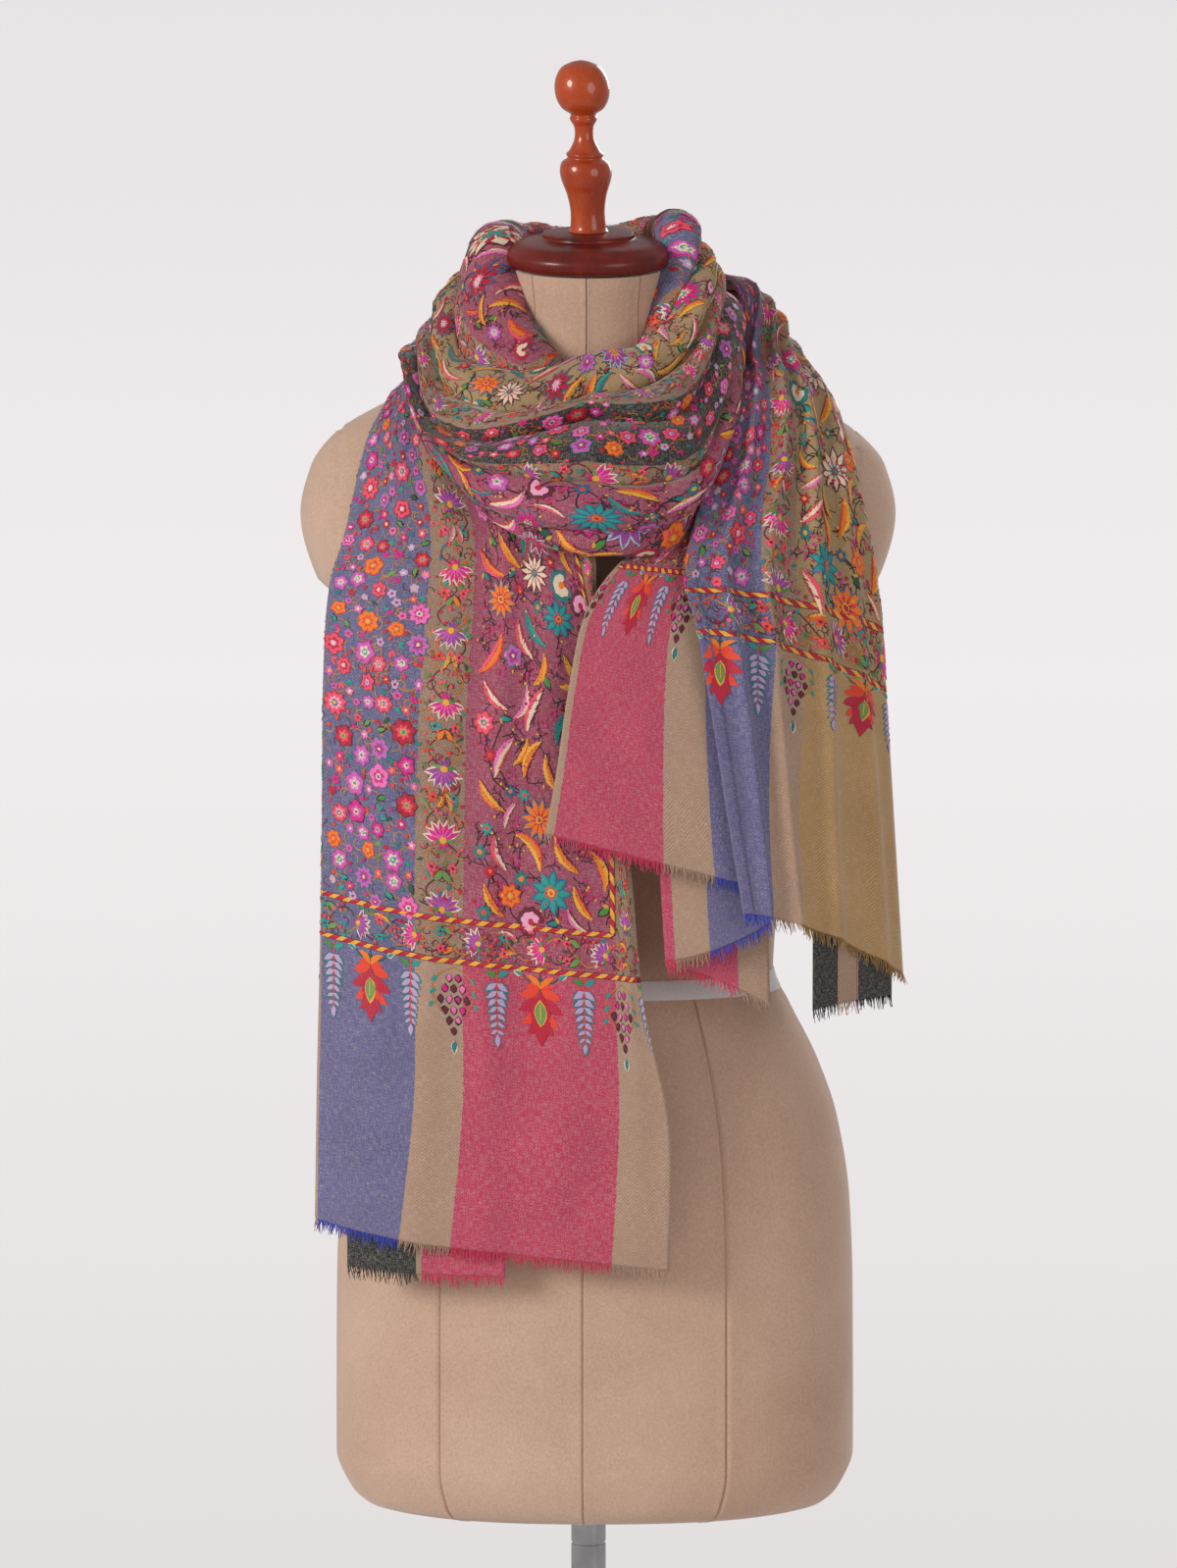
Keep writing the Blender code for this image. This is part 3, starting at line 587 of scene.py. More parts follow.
def seamAngles(height):
    # where each lengthwise seam runs at a height, from the front left one round to the back left one
    wide, _, _, sway, _ = formValues(height)
    share = (wide / formSetup["widest"]) ** 0.8
    angles = []
    for places, base, turn in ((formSetup["frontSeams"], 1.5 * pi, 1),
                               (formSetup["backSeams"], 0.5 * pi, -1)):
        for x in places if turn == 1 else reversed(places):
            out = np.clip((x * share - sway) / wide, -0.98, 0.98)
            cosine = np.sign(out) * np.abs(out) ** (formSetup["roundness"] / 2)
            angles.append(base + turn * np.arcsin(cosine))
    front, back = angles[:3], [a + tau for a in angles[3:]]
    right = np.full_like(wide, tau)
    left = np.full_like(wide, 3 * pi)
    return front + [right] + back + [left, front[0] + tau]


def ringFaces(rings, count):
    # faces between rings of points, each ring closed on itself
    faces = []
    for start in range(0, (rings - 1) * count, count):
        for n in range(count):
            m = (n + 1) % count
            faces.append((start + n, start + m, start + count + m, start + count + n))
    return faces


def makeForm():
    low, high = formSetup["sections"][0][0], formSetup["sections"][-1][0]
    heights = np.linspace(low, high, int((high - low) / formSetup["rowStep"]) + 1)
    heights = np.sort(np.unique(np.concatenate([heights, formSetup["hemRings"]])))
    seams = seamAngles(heights)
    # columns from one seam to the next stand closer beside the seams
    fractions = np.concatenate([[0.0, 0.010, 0.026, 0.055], np.linspace(0.11, 0.89, 13),
                                [0.945, 0.974, 0.990]])
    columns, sink = [], []
    for start, end in zip(seams, seams[1:]):
        for f in fractions:
            columns.append(start + (end - start) * f)
            reach = min(f, 1 - f)
            pucker = formSetup["seamPucker"] if reach < 0.03 else 0.0
            sink.append(-formSetup["seamDepth"] if reach == 0 else pucker)
    angles = np.stack(columns, 1)
    proud = np.broadcast_to(np.array(sink), angles.shape).copy()
    points = formPoints(heights[:, None] + np.zeros_like(angles), angles, 0.0)
    around = np.roll(points, -1, 1) - np.roll(points, 1, 1)
    outward = np.cross(around, np.gradient(points, axis=0))
    outward /= np.linalg.norm(outward, axis=2, keepdims=True)
    points = points + outward * proud[..., None]
    rows, count = angles.shape
    faces = ringFaces(rows, count)
    faces.append(tuple(reversed(range(count))))
    faces.append(tuple((rows - 1) * count + n for n in range(count)))
    mesh = bpy.data.meshes.new("formBody")
    mesh.from_pydata(points.reshape(-1, 3).tolist(), [], faces)
    shape = bmesh.new()
    shape.from_mesh(mesh)
    bmesh.ops.recalc_face_normals(shape, faces=shape.faces)
    groove = formSetup["armholeGroove"]
    for side in (-1, 1):
        for step in (-groove, 0.0, groove):
            centres = [(f, f.calc_center_median()) for f in shape.faces]
            near = [f for f, c in centres if c.z > formSetup["armholeLow"]
                    and c.x * side > formSetup["armholeFrom"]]
            edges = {e for f in near for e in f.edges}
            verts = {v for f in near for v in f.verts}
            x = formSetup["armholeMiddle"] + side * (formSetup["armholeX"] + step)
            cut = bmesh.ops.bisect_plane(shape, geom=near + list(edges) + list(verts), dist=1e-5,
                                         plane_co=(x, 0, 0), plane_no=(side, 0, 0))
            if step == 0.0:
                rim = [v for v in cut["geom_cut"] if isinstance(v, bmesh.types.BMVert)]
                shape.normal_update()
                for v in rim:
                    v.co -= v.normal * formSetup["seamDepth"]
    shape.to_mesh(mesh)
    shape.free()
    body = addPiece("form_body", mesh, suedeMaterial, 50)
    setIn(body, "suede", "form_torso", "form_arm_cap_left", "form_arm_cap_right")


def makeTape():
    count = 160
    angles = np.linspace(0, tau, count, endpoint=False)
    low, wide, wall = formSetup["tapeLow"], formSetup["tapeWidth"], formSetup["tapeWall"]
    # height over the tape's lower edge and distance from the cover
    rings = ((0.0, -0.0004), (0.0, wall * 0.8), (0.0006, wall), (wide * 0.5, wall * 1.1),
             (wide - 0.0006, wall), (wide, wall * 0.8), (wide, -0.0004))
    points = [formPoints(np.full(count, low + up), angles, out) for up, out in rings]
    faces = ringFaces(len(rings), count)
    last = (len(rings) - 1) * count
    faces += [(last + n, last + (n + 1) % count, (n + 1) % count, n) for n in range(count)]
    mesh = bpy.data.meshes.new("waistTape")
    mesh.from_pydata(np.concatenate(points).tolist(), [], faces)
    tape = addPiece("waist_tape", mesh, tapeMaterial, 50)
    setIn(tape, "cotton_tape", "form_waist_tape")


# turned wood and the stand: rows of height and radius
woodSetup = {
    "cap": ((0.0003, 0.0), (0.0003, 0.0455), (0.002, 0.0500), (0.006, 0.0518), (0.010, 0.0515),
            (0.014, 0.0480), (0.0165, 0.0440), (0.0185, 0.0300), (0.0215, 0.0285), (0.0225, 0.0240),
            (0.0225, 0.0)),
    "finial": ((0.0228, 0.0), (0.0228, 0.0125), (0.026, 0.0112), (0.036, 0.0108), (0.046, 0.0125),
               (0.054, 0.0152), (0.060, 0.0163), (0.066, 0.0150), (0.069, 0.0112), (0.0715, 0.0118),
               (0.074, 0.0095), (0.081, 0.0062), (0.088, 0.0060), (0.092, 0.0080), (0.094, 0.0086),
               (0.0965, 0.0080), (0.100, 0.0130), (0.106, 0.0163), (0.113, 0.0172), (0.120, 0.0158),
               (0.126, 0.0118), (0.1302, 0.0)),
    "sideLean": 0.045,
}
standSetup = {
    "baseRadius": 0.190, "baseThickness": 0.012, "bevel": 0.003, "socketRadius": 0.020,
    "socketTop": 0.055, "poleRadius": 0.011, "poleTop": 0.7207, "gap": 0.0003,
}


def turnedPiece(name, profile, material, segments=96, place=None, smoothAngle=35):
    # a closed turned body from rows of height and radius that start and end on the axis
    points, faces, rings = [], [], []
    for height, radius in profile:
        size = 1 if radius == 0 else segments
        rings.append([len(points) + n for n in range(size)])
        points += [(radius * cos(tau * n / segments), radius * sin(tau * n / segments), height)
                   for n in range(size)]
    for lower, upper in zip(rings, rings[1:]):
        for n in range(segments):
            m = (n + 1) % segments
            corners = (lower[n % len(lower)], lower[m % len(lower)], upper[m % len(upper)],
                       upper[n % len(upper)])
            faces.append(tuple(dict.fromkeys(corners)))
    mesh = bpy.data.meshes.new(name)
    mesh.from_pydata(points, [], faces)
    if place is not None:
        mesh.transform(place)
    return addPiece(name, mesh, material, smoothAngle)


def rounded(profile, parts=5):
    # a smooth line through a turned profile, with the ends kept on the axis
    inner = np.array(profile[1:-1])
    fine = through(inner, np.linspace(0, len(inner) - 1, (len(inner) - 1) * parts + 1))
    return [profile[0]] + [(float(h), float(max(r, 0.001))) for h, r in fine] + [profile[-1]]


def makeWoodAndStand():
    lean = Matrix.Rotation(math.atan(formSetup["neckSlope"]), 4, "X")
    neckTop = formSetup["sections"][-1][0]
    seat = Matrix.Translation((0, -0.0075, neckTop - 0.0075 * formSetup["neckSlope"])) @ lean
    cap = turnedPiece("neck_cap", rounded(woodSetup["cap"]), capWood, place=seat)
    setIn(cap, "turned_wood", "form_neck_cap")
    foot = woodSetup["finial"][0][0]
    side = Matrix.Translation((0, 0, foot)) @ Matrix.Shear("XY", 4, (-woodSetup["sideLean"], 0))
    side = side @ Matrix.Translation((0, 0, -foot))
    knob = list(rounded(woodSetup["finial"][:-1] + ((0.1292, 0.0050), (0.1302, 0.0))))
    finial = turnedPiece("neck_finial", knob, finialWood, place=seat @ side)
    setIn(finial, "turned_wood", "form_finial")
    s = standSetup
    edge = [(s["bevel"] * (1 - sin(a)), s["baseRadius"] - s["bevel"] * (1 - cos(a)))
            for a in np.linspace(pi / 2, 0, 6)]
    rim = [(s["baseThickness"] - s["bevel"] * (1 - cos(a)), s["baseRadius"] - s["bevel"] * (1 - sin(a)))
           for a in np.linspace(pi / 2, 0, 6)]
    profile = [(0, 0)] + edge + rim + [(s["baseThickness"], 0)]
    plate = turnedPiece("stand_plate", profile, chromeMaterial, 160)
    setIn(plate, "chrome", "stand_base")
    low = s["baseThickness"] + s["gap"]
    wide, top = s["socketRadius"], s["socketTop"]
    profile = [(low, 0), (low, wide - 0.001), (low + 0.001, wide), (top - 0.002, wide), (top, wide - 0.002),
               (top, 0)]
    collar = turnedPiece("stand_collar", profile, chromeMaterial, 64)
    setIn(collar, "chrome", "stand_socket")
    start, radius = s["socketTop"] + s["gap"], s["poleRadius"]
    tube = [(start, 0), (start, radius)]
    for height in np.arange(0.64, 0.70, 0.018):
        tube += [(height, radius), (height + 0.0004, radius - 0.0007), (height + 0.0016, radius - 0.0007),
                 (height + 0.002, radius)]
    pole = turnedPiece("stand_tube", tube + [(s["poleTop"], radius), (s["poleTop"], 0)], chromeMaterial, 64)
    setIn(pole, "chrome", "stand_pole")


makeForm()
makeTape()
makeWoodAndStand()
print("form, tape, wood and stand: made")

# the shawl: stretches of cloth, each a grid of points with its place in the flat cloth
# u runs across the cloth from the left tail's selvedge, v from the nearer hem, both in metres
clothWall = 0.0012
cellSize = 0.0028


def lay(name, points, u, v, side, lift=0.0):
    # one stretch: rows along v, columns along u, both as grids
    normals = gridNormals(points, side)
    return {"name": name, "points": points + normals * lift, "normals": normals, "u": u, "v": v,
            "side": side}


def pushOut(stretch, amount):
    stretch["points"] = stretch["points"] + stretch["normals"] * amount[..., None]
    stretch["normals"] = gridNormals(stretch["points"], stretch["side"])
    return stretch


def inward(pitch, depth):
    pitch = np.radians(pitch)
    return np.stack([np.zeros_like(pitch), np.cos(pitch), -np.sin(pitch)], -1) * depth[..., None]


def softFold(distance, width):
    return np.exp(-(distance / width) ** 2)


leftTailSetup = {
    # outer fold, end of blue, of beige, of pink, selvedge (x), then y and z at fold, middle and
    # selvedge, pitch of the cloth and depth to the layer behind;
    # from under the wrap behind the shoulder down
    "rows": (
        (-0.084, -0.079, -0.074, -0.062, -0.057, 0.036, 0.038, 0.038, 1.4590, 1.4630, 1.4680, 115, 0.004),
        (-0.120, -0.102, -0.092, -0.070, -0.060, 0.002, 0.002, 0.002, 1.4325, 1.4440, 1.4590, 90, 0.005),
        (-0.128, -0.103, -0.090, -0.062, -0.050, -0.036, -0.045, -0.053, 1.422, 1.434, 1.446, 60, 0.006),
        (-0.139, -0.104, -0.089, -0.045, -0.036, -0.058, -0.076, -0.086, 1.398, 1.404, 1.406, 35, 0.007),
        (-0.151, -0.095, -0.070, -0.012, 0.000, -0.073, -0.106, -0.119, 1.345, 1.348, 1.348, 18, 0.008),
        (-0.1610, -0.096, -0.069, 0.000, 0.006, -0.083, -0.1195, -0.131, 1.308, 1.304, 1.300, 6, 0.010),
        (-0.1645, -0.101, -0.073, 0.010, 0.013, -0.088, -0.127, -0.134, 1.253, 1.243, 1.236, 0, 0.010),
        (-0.1655, -0.104, -0.075, 0.016, 0.026, -0.090, -0.128, -0.135, 1.162, 1.150, 1.140, 0, 0.010),
        (-0.1670, -0.104, -0.076, 0.017, 0.034, -0.091, -0.127, -0.134, 1.081, 1.068, 1.056, 0, 0.010),
        (-0.1690, -0.105, -0.076, 0.019, 0.050, -0.092, -0.126, -0.133, 1.005, 0.992, 0.979, 0, 0.010),
        (-0.1705, -0.115, -0.084, 0.0145, 0.0500, -0.092, -0.125, -0.132, 0.917, 0.905, 0.890, 0, 0.010)),
    "lengths": (0.66, 0.607, 0.56, 0.51, 0.448, 0.40, 0.338, 0.245, 0.163, 0.087, 0.0),
    "stripeEnds": (0.0, 0.035, 0.135, 0.165), "rollStart": (0.236, 0.231), "behind": 0.055,
    "lowerStep": 0.0025, "lowerPlaces": (4.7, 8.0), "lowerDrops": (0.024, 0.015), "lowerFrom": 0.14,
    "lowerStripes": ((0.0, 0.400), (0.48, 0.465), (0.505, 0.500), (1.0, 0.545)),
    # soft ridges of the hanging cloth: u at the hem, u at the top, half width, height
    "ridges": ((0.018, 0.012, 0.010, 0.0026), (0.078, 0.060, 0.016, 0.0032), (0.122, 0.104, 0.012, 0.0040),
               (0.160, 0.150, 0.012, 0.0034), (0.198, 0.186, 0.014, 0.0034)),
}


def rowPositions(lengths, step=cellSize):
    # positions down a table of rows whose lengths of cloth from the hem are given, evenly along the cloth
    lengths = np.asarray(lengths)
    rows = np.arange(len(lengths))
    count = int((lengths[0] - lengths[-1]) / step) + 1
    v = np.linspace(lengths[0], lengths[-1], count)
    return np.interp(v, lengths[::-1], rows[::-1].astype(float)), v


def leftTailFront(values, x):
    # points of the tail's front layer at places x, one row of values for each row of x
    foldX, blueX, beigeX, _, edgeX, fy, my, ey, fz, mz, ez = (values[:, n:n + 1] for n in range(11))
    middle = 0.5 * (blueX + beigeX)
    right = (x - middle) / (edgeX - middle)
    left = (middle - x) / (middle - foldX)
    y = np.where(x > middle, my + (ey - my) * right * (1.2 - 0.2 * right),
                 my + (fy - my) * left * np.abs(left))
    z = np.where(x > middle, mz + (ez - mz) * right, mz + (fz - mz) * left)
    return np.stack([x, y, z], -1)


def makeLeftTail():
    s = leftTailSetup
    positions, v = rowPositions(s["lengths"])
    values = through(s["rows"], positions)
    foldX, blueX, beigeX, pinkX, edgeX = (values[:, n:n + 1] for n in range(5))
    pitch, depth = values[:, 11:12], values[:, 12:13]
    turnX = foldX + 0.004
    farU, nearU = s["rollStart"]
    rollU = nearU + (farU - nearU) * np.clip(1.4 - v / 0.3, 0, 1)[:, None]
    parts = []
    ends = (edgeX, pinkX, beigeX, blueX, turnX)
    marks = [np.full_like(foldX, e) for e in s["stripeEnds"]] + [rollU]
    for n, count in enumerate((13, 36, 11, 25)):
        t = np.arange(count) / count
        parts.append((ends[n] + (ends[n + 1] - ends[n]) * t, marks[n] + (marks[n + 1] - marks[n]) * t,
                      0 * t))
    turn = np.linspace(0, pi, 9)
    parts.append((turnX - 0.004 * np.sin(turn), rollU + 0.012 * turn / pi, (1 - np.cos(turn)) / 2))
    t = np.arange(1, 20) / 19
    parts.append((turnX + (blueX - turnX) * t, rollU + 0.012 + s["behind"] * t, 0 * t + 1))
    x = np.concatenate([p[0] for p in parts], 1)
    u = np.concatenate([p[1] for p in parts], 1)
    back = np.concatenate([np.broadcast_to(p[2], p[0].shape) for p in parts], 1)
    front = leftTailFront(values, np.maximum(x, foldX))
    front[..., 0] = x
    points = front + inward(pitch + 0 * x, depth * back)
    tail = lay("left_tail", points[:, ::-1], u[:, ::-1], v, 1.0)
    rise = np.zeros_like(u)
    share = (v / s["lengths"][0])[:, None]
    strength = 0.35 + 0.65 * np.sin(pi * np.clip(share, 0, 1))
    for low, high, width, height in s["ridges"]:
        wander = 0.005 * np.sin(9 * share + 40 * low)
        rise += height * softFold(u - (low + (high - low) * share) - wander, width) * strength
    rise *= (back < 0.01)
    pushOut(tail, rise[:, ::-1])
    # the layer that hangs lower, on the back of the front one
    keep = v < s["lowerFrom"]
    stops = (turnX, 0.5 * (foldX + blueX), blueX, beigeX, 0.67 * beigeX + 0.33 * pinkX)
    place = np.linspace(s["lowerPlaces"][0], s["lowerPlaces"][1], 44)
    lowerX = np.array([[np.interp(p, (4, 5, 6, 7, 8), [c[r, 0] for c in stops]) for p in place]
                       for r in np.flatnonzero(keep)])
    grid = leftTailFront(values[keep], lowerX)
    grid = grid + inward(pitch[keep] + 0 * lowerX, s["lowerStep"] + 0 * lowerX)
    share = np.linspace(0, 1, len(place))
    return tail, hangLower("left_lower", grid, v[keep], share, s["lowerDrops"], s["lowerStripes"])


def hangLower(name, grid, v, share, drops, stripes):
    falls = drops[0] + (drops[1] - drops[0]) * share
    steps = max(int(max(drops) / cellSize), 2)
    extra = [grid[-1] - np.stack([0 * falls, 0 * falls, falls * n / steps], -1)
             for n in range(1, steps + 1)]
    grid = np.concatenate([grid, np.array(extra)])
    longest = max(drops)
    v = np.concatenate([v + longest, longest * (1 - np.arange(1, steps + 1) / steps)])
    u = np.broadcast_to(np.interp(share, [a for a, _ in stripes], [b for _, b in stripes]), grid.shape[:2])
    return lay(name, grid, u.copy(), v, 1.0)


ridgeSetup = {
    # ridge point, outer fold point, bow, pitch, depth to the layer behind;
    # from under the wrap behind the neck down
    "rows": (
        (0.0150, 0.066, 1.496, 0.0190, 0.072, 1.462, 0.002, 20, 0.004),
        (0.0700, 0.078, 1.502, 0.0880, 0.092, 1.456, 0.004, 40, 0.005),
        (0.0965, 0.028, 1.490, 0.1280, 0.040, 1.450, 0.008, 60, 0.005),
        (0.0915, -0.002, 1.4460, 0.1400, 0.004, 1.441, 0.010, 75, 0.005),
        (0.0900, -0.031, 1.4345, 0.1530, -0.020, 1.4260, 0.008, 58, 0.005),
        (0.0870, -0.060, 1.417, 0.1620, -0.046, 1.4020, 0.007, 40, 0.006),
        (0.0810, -0.087, 1.388, 0.1680, -0.065, 1.3740, 0.006, 30, 0.007),
        (0.0680, -0.116, 1.357, 0.1750, -0.075, 1.3400, 0.008, 20, 0.008),
        (0.0600, -0.143, 1.319, 0.1820, -0.077, 1.2940, 0.008, 8, 0.010),
        (0.0677, -0.152, 1.286, 0.1850, -0.078, 1.2450, 0.010, 0, 0.010),
        (0.0773, -0.155, 1.230, 0.1880, -0.079, 1.1990, 0.012, 0, 0.010),
        (0.0857, -0.156, 1.176, 0.1915, -0.080, 1.1430, 0.013, 0, 0.010),
        (0.0958, -0.156, 1.114, 0.1960, -0.082, 1.0690, 0.014, 0, 0.010)),
    "lengths": (0.53, 0.47, 0.43, 0.39, 0.36, 0.33, 0.297, 0.255, 0.212, 0.178, 0.118, 0.062, 0.0),
    # at cloth length v: u of the ridge, places of the blue and beige stripes' ends, u of the fold
    "stops": ((0.0, 0.217, 0.142, 0.32, 0.358), (0.178, 0.185, 0.35, 0.56, 0.340),
              (0.53, 0.185, 0.30, 0.53, 0.335)),
    "sag": 1.6, "behind": 0.07,
    "lowerStep": 0.0036, "lowerPlaces": (0.425, 0.925), "lowerDrops": (0.050, 0.018), "lowerFrom": 0.17,
    "lowerStripes": ((0.0, 0.425), (0.27, 0.465), (0.54, 0.494), (0.56, 0.860), (1.0, 0.895)),
    "ridges": ((0.13, 0.30, 0.030, 0.0064), (0.33, 0.52, 0.040, 0.0074),
               (0.58, 0.72, 0.050, 0.0078), (0.84, 0.90, 0.045, 0.0050)),
}
underSetup = {
    "rows": (
        (0.0860, -0.0755, 1.385, 0.1150, -0.0725, 1.3880, 0.001, 40),
        (0.0720, -0.0940, 1.368, 0.1130, -0.0880, 1.3700, 0.002, 30),
        (0.0530, -0.1080, 1.354, 0.1100, -0.0990, 1.3460, 0.002, 20),
        (0.0174, -0.1360, 1.326, 0.0980, -0.1220, 1.3160, 0.002, 8),
        (-0.0024, -0.1450, 1.296, 0.0930, -0.1350, 1.2810, 0.002, 0),
        (-0.0120, -0.1490, 1.2527, 0.0940, -0.1425, 1.2350, 0.002, 0),
        (-0.0198, -0.1500, 1.2000, 0.0990, -0.1450, 1.1800, 0.002, 0),
        (-0.0264, -0.1500, 1.163, 0.1050, -0.1465, 1.1290, 0.003, 0)),
    "lengths": (0.282, 0.252, 0.225, 0.178, 0.140, 0.094, 0.039, 0.0),
    "stripes": ((0.0, 0.0295), (0.038, 0.035), (0.538, 0.135), (0.766, 0.165), (1.0, 0.196)), "sag": 1.0,
}
innerFrontSetup = {
    "rows": (
        (0.0440, -0.1424, 1.270, 0.1000, -0.1344, 1.265, 0.001, 0),
        (0.0440, -0.1395, 1.215, 0.1050, -0.1345, 1.212, 0.001, 0),
        (0.0435, -0.1360, 1.150, 0.1090, -0.1350, 1.155, 0.002, 0),
        (0.0470, -0.1350, 1.083, 0.1120, -0.1350, 1.106, 0.003, 0)),
    "lengths": (0.185, 0.130, 0.065, 0.0),
    "stripes": ((0.0, 0.125), (0.08, 0.135), (0.40, 0.165), (1.0, 0.234)), "sag": 1.6,
}
innerBackSetup = {
    "rows": (
        (0.0500, -0.1394, 1.262, 0.1000, -0.1323, 1.258, 0.001, 0),
        (0.0480, -0.1340, 1.205, 0.1050, -0.1275, 1.200, 0.001, 0),
        (0.0470, -0.1270, 1.130, 0.1100, -0.1230, 1.120, 0.002, 0),
        (0.0490, -0.1260, 1.078, 0.1120, -0.1220, 1.054, 0.003, 0)),
    "lengths": (0.185, 0.130, 0.055, 0.0),
    "stripes": ((0.0, 0.525), (0.66, 0.595), (1.0, 0.624)), "sag": 1.6,
}


def panelFront(values, t, sag):
    x1, y1, z1, x2, y2, z2, bow, pitch = (values[:, n:n + 1] for n in range(8))
    t = np.broadcast_to(t, (len(values), np.shape(t)[-1]))
    points = np.stack([x1 + (x2 - x1) * t, y1 + (y2 - y1) * t, z1 + (z2 - z1) * t ** sag], -1)
    return points - inward(pitch + 0 * t, bow * 4 * t * (1 - t))


def makeRidgePanel():
    s = ridgeSetup
    positions, v = rowPositions(s["lengths"])
    values = through(s["rows"], positions)
    pitch, depth = values[:, 7:8], values[:, 8:9]
    keys = [row[0] for row in s["stops"]]
    start, blueEnd, beigeEnd, foldU = (np.interp(v, keys, [row[c] for row in s["stops"]])
                                       for c in range(1, 5))
    t = np.linspace(0, 0.972, 50)
    front = panelFront(values, t, s["sag"])
    u = np.array([np.interp(t, (0, a, b, 1), (first, 0.235, 0.265, last))
                  for first, a, b, last in zip(start, blueEnd, beigeEnd, foldU)])
    # the ridge turns under to the left, and the outer fold turns back to a layer behind
    turn = np.linspace(pi, 0.25, 6)[:, None]
    lipDepth, lipOut = (1 - np.cos(turn[:, 0])) * 0.0011, np.sin(turn[:, 0]) * 0.0014
    first = front[:, :1]
    lip = first + inward(pitch + 0 * lipDepth, np.broadcast_to(lipDepth, (len(v), 6)))
    lip[..., 0] -= lipOut
    tuck = first + inward(pitch + np.zeros((1, 2)), np.broadcast_to([0.0023, 0.0022], (len(v), 2)))
    tuck[..., 0] += np.array([0.006, 0.003])
    lipU = start[:, None] - np.linspace(0.013, 0.001, 8)
    last = panelFront(values, np.array([0.972]), s["sag"])
    end = panelFront(values, np.array([1.0]), s["sag"])
    arc = np.linspace(0.2, pi, 8)
    roll = last + (end - last) * np.sin(arc)[None, :, None]
    roll = roll + inward(pitch + 0 * arc, depth * (1 - np.cos(arc)) / 2)
    rollU = u[:, -1:] + 0.012 * arc / pi
    tb = np.linspace(0.95, 0.62, 18)
    behind = panelFront(values, tb, s["sag"]) + inward(pitch + 0 * tb, depth + 0 * tb)
    behindU = rollU[:, -1:] + s["behind"] * (0.97 - tb) / 0.35
    points = np.concatenate([tuck, lip, front, roll, behind], 1)
    u = np.concatenate([lipU, u, rollU, behindU], 1)
    panel = lay("right_ridge_panel", points, u, v, 1.0)
    place = np.concatenate([np.full(8, -1.0), t, np.full(26, 9.0)])[None]
    share = np.clip((v / s["lengths"][0])[:, None], 0, 1)
    rise = np.zeros_like(u)
    strength = np.sin(pi * np.clip(0.18 + 0.82 * share, 0, 1)) ** 0.7
    for low, high, width, height in s["ridges"]:
        middle = low + (high - low) * share + 0.02 * np.sin(7 * share + 9 * low)
        rise += height * softFold(place - middle, width) * strength
    pushOut(panel, rise)
    keep = v < s["lowerFrom"]
    place = np.linspace(s["lowerPlaces"][0], s["lowerPlaces"][1], 40)
    grid = panelFront(values[keep], place, s["sag"])
    grid = grid + inward(pitch[keep] + 0 * place, s["lowerStep"] + np.zeros((keep.sum(), 40)))
    share = np.linspace(0, 1, len(place))
    return panel, hangLower("right_lower_outer", grid, v[keep], share, s["lowerDrops"], s["lowerStripes"])


def makePlainPanel(name, s, columns):
    positions, v = rowPositions(s["lengths"])
    values = through(s["rows"], positions)
    t = np.linspace(0, 1, columns)
    u = np.broadcast_to(np.interp(t, [a for a, _ in s["stripes"]], [b for _, b in s["stripes"]]),
                        (len(v), columns))
    return lay(name, panelFront(values, t, s["sag"]), u.copy(), v, 1.0)


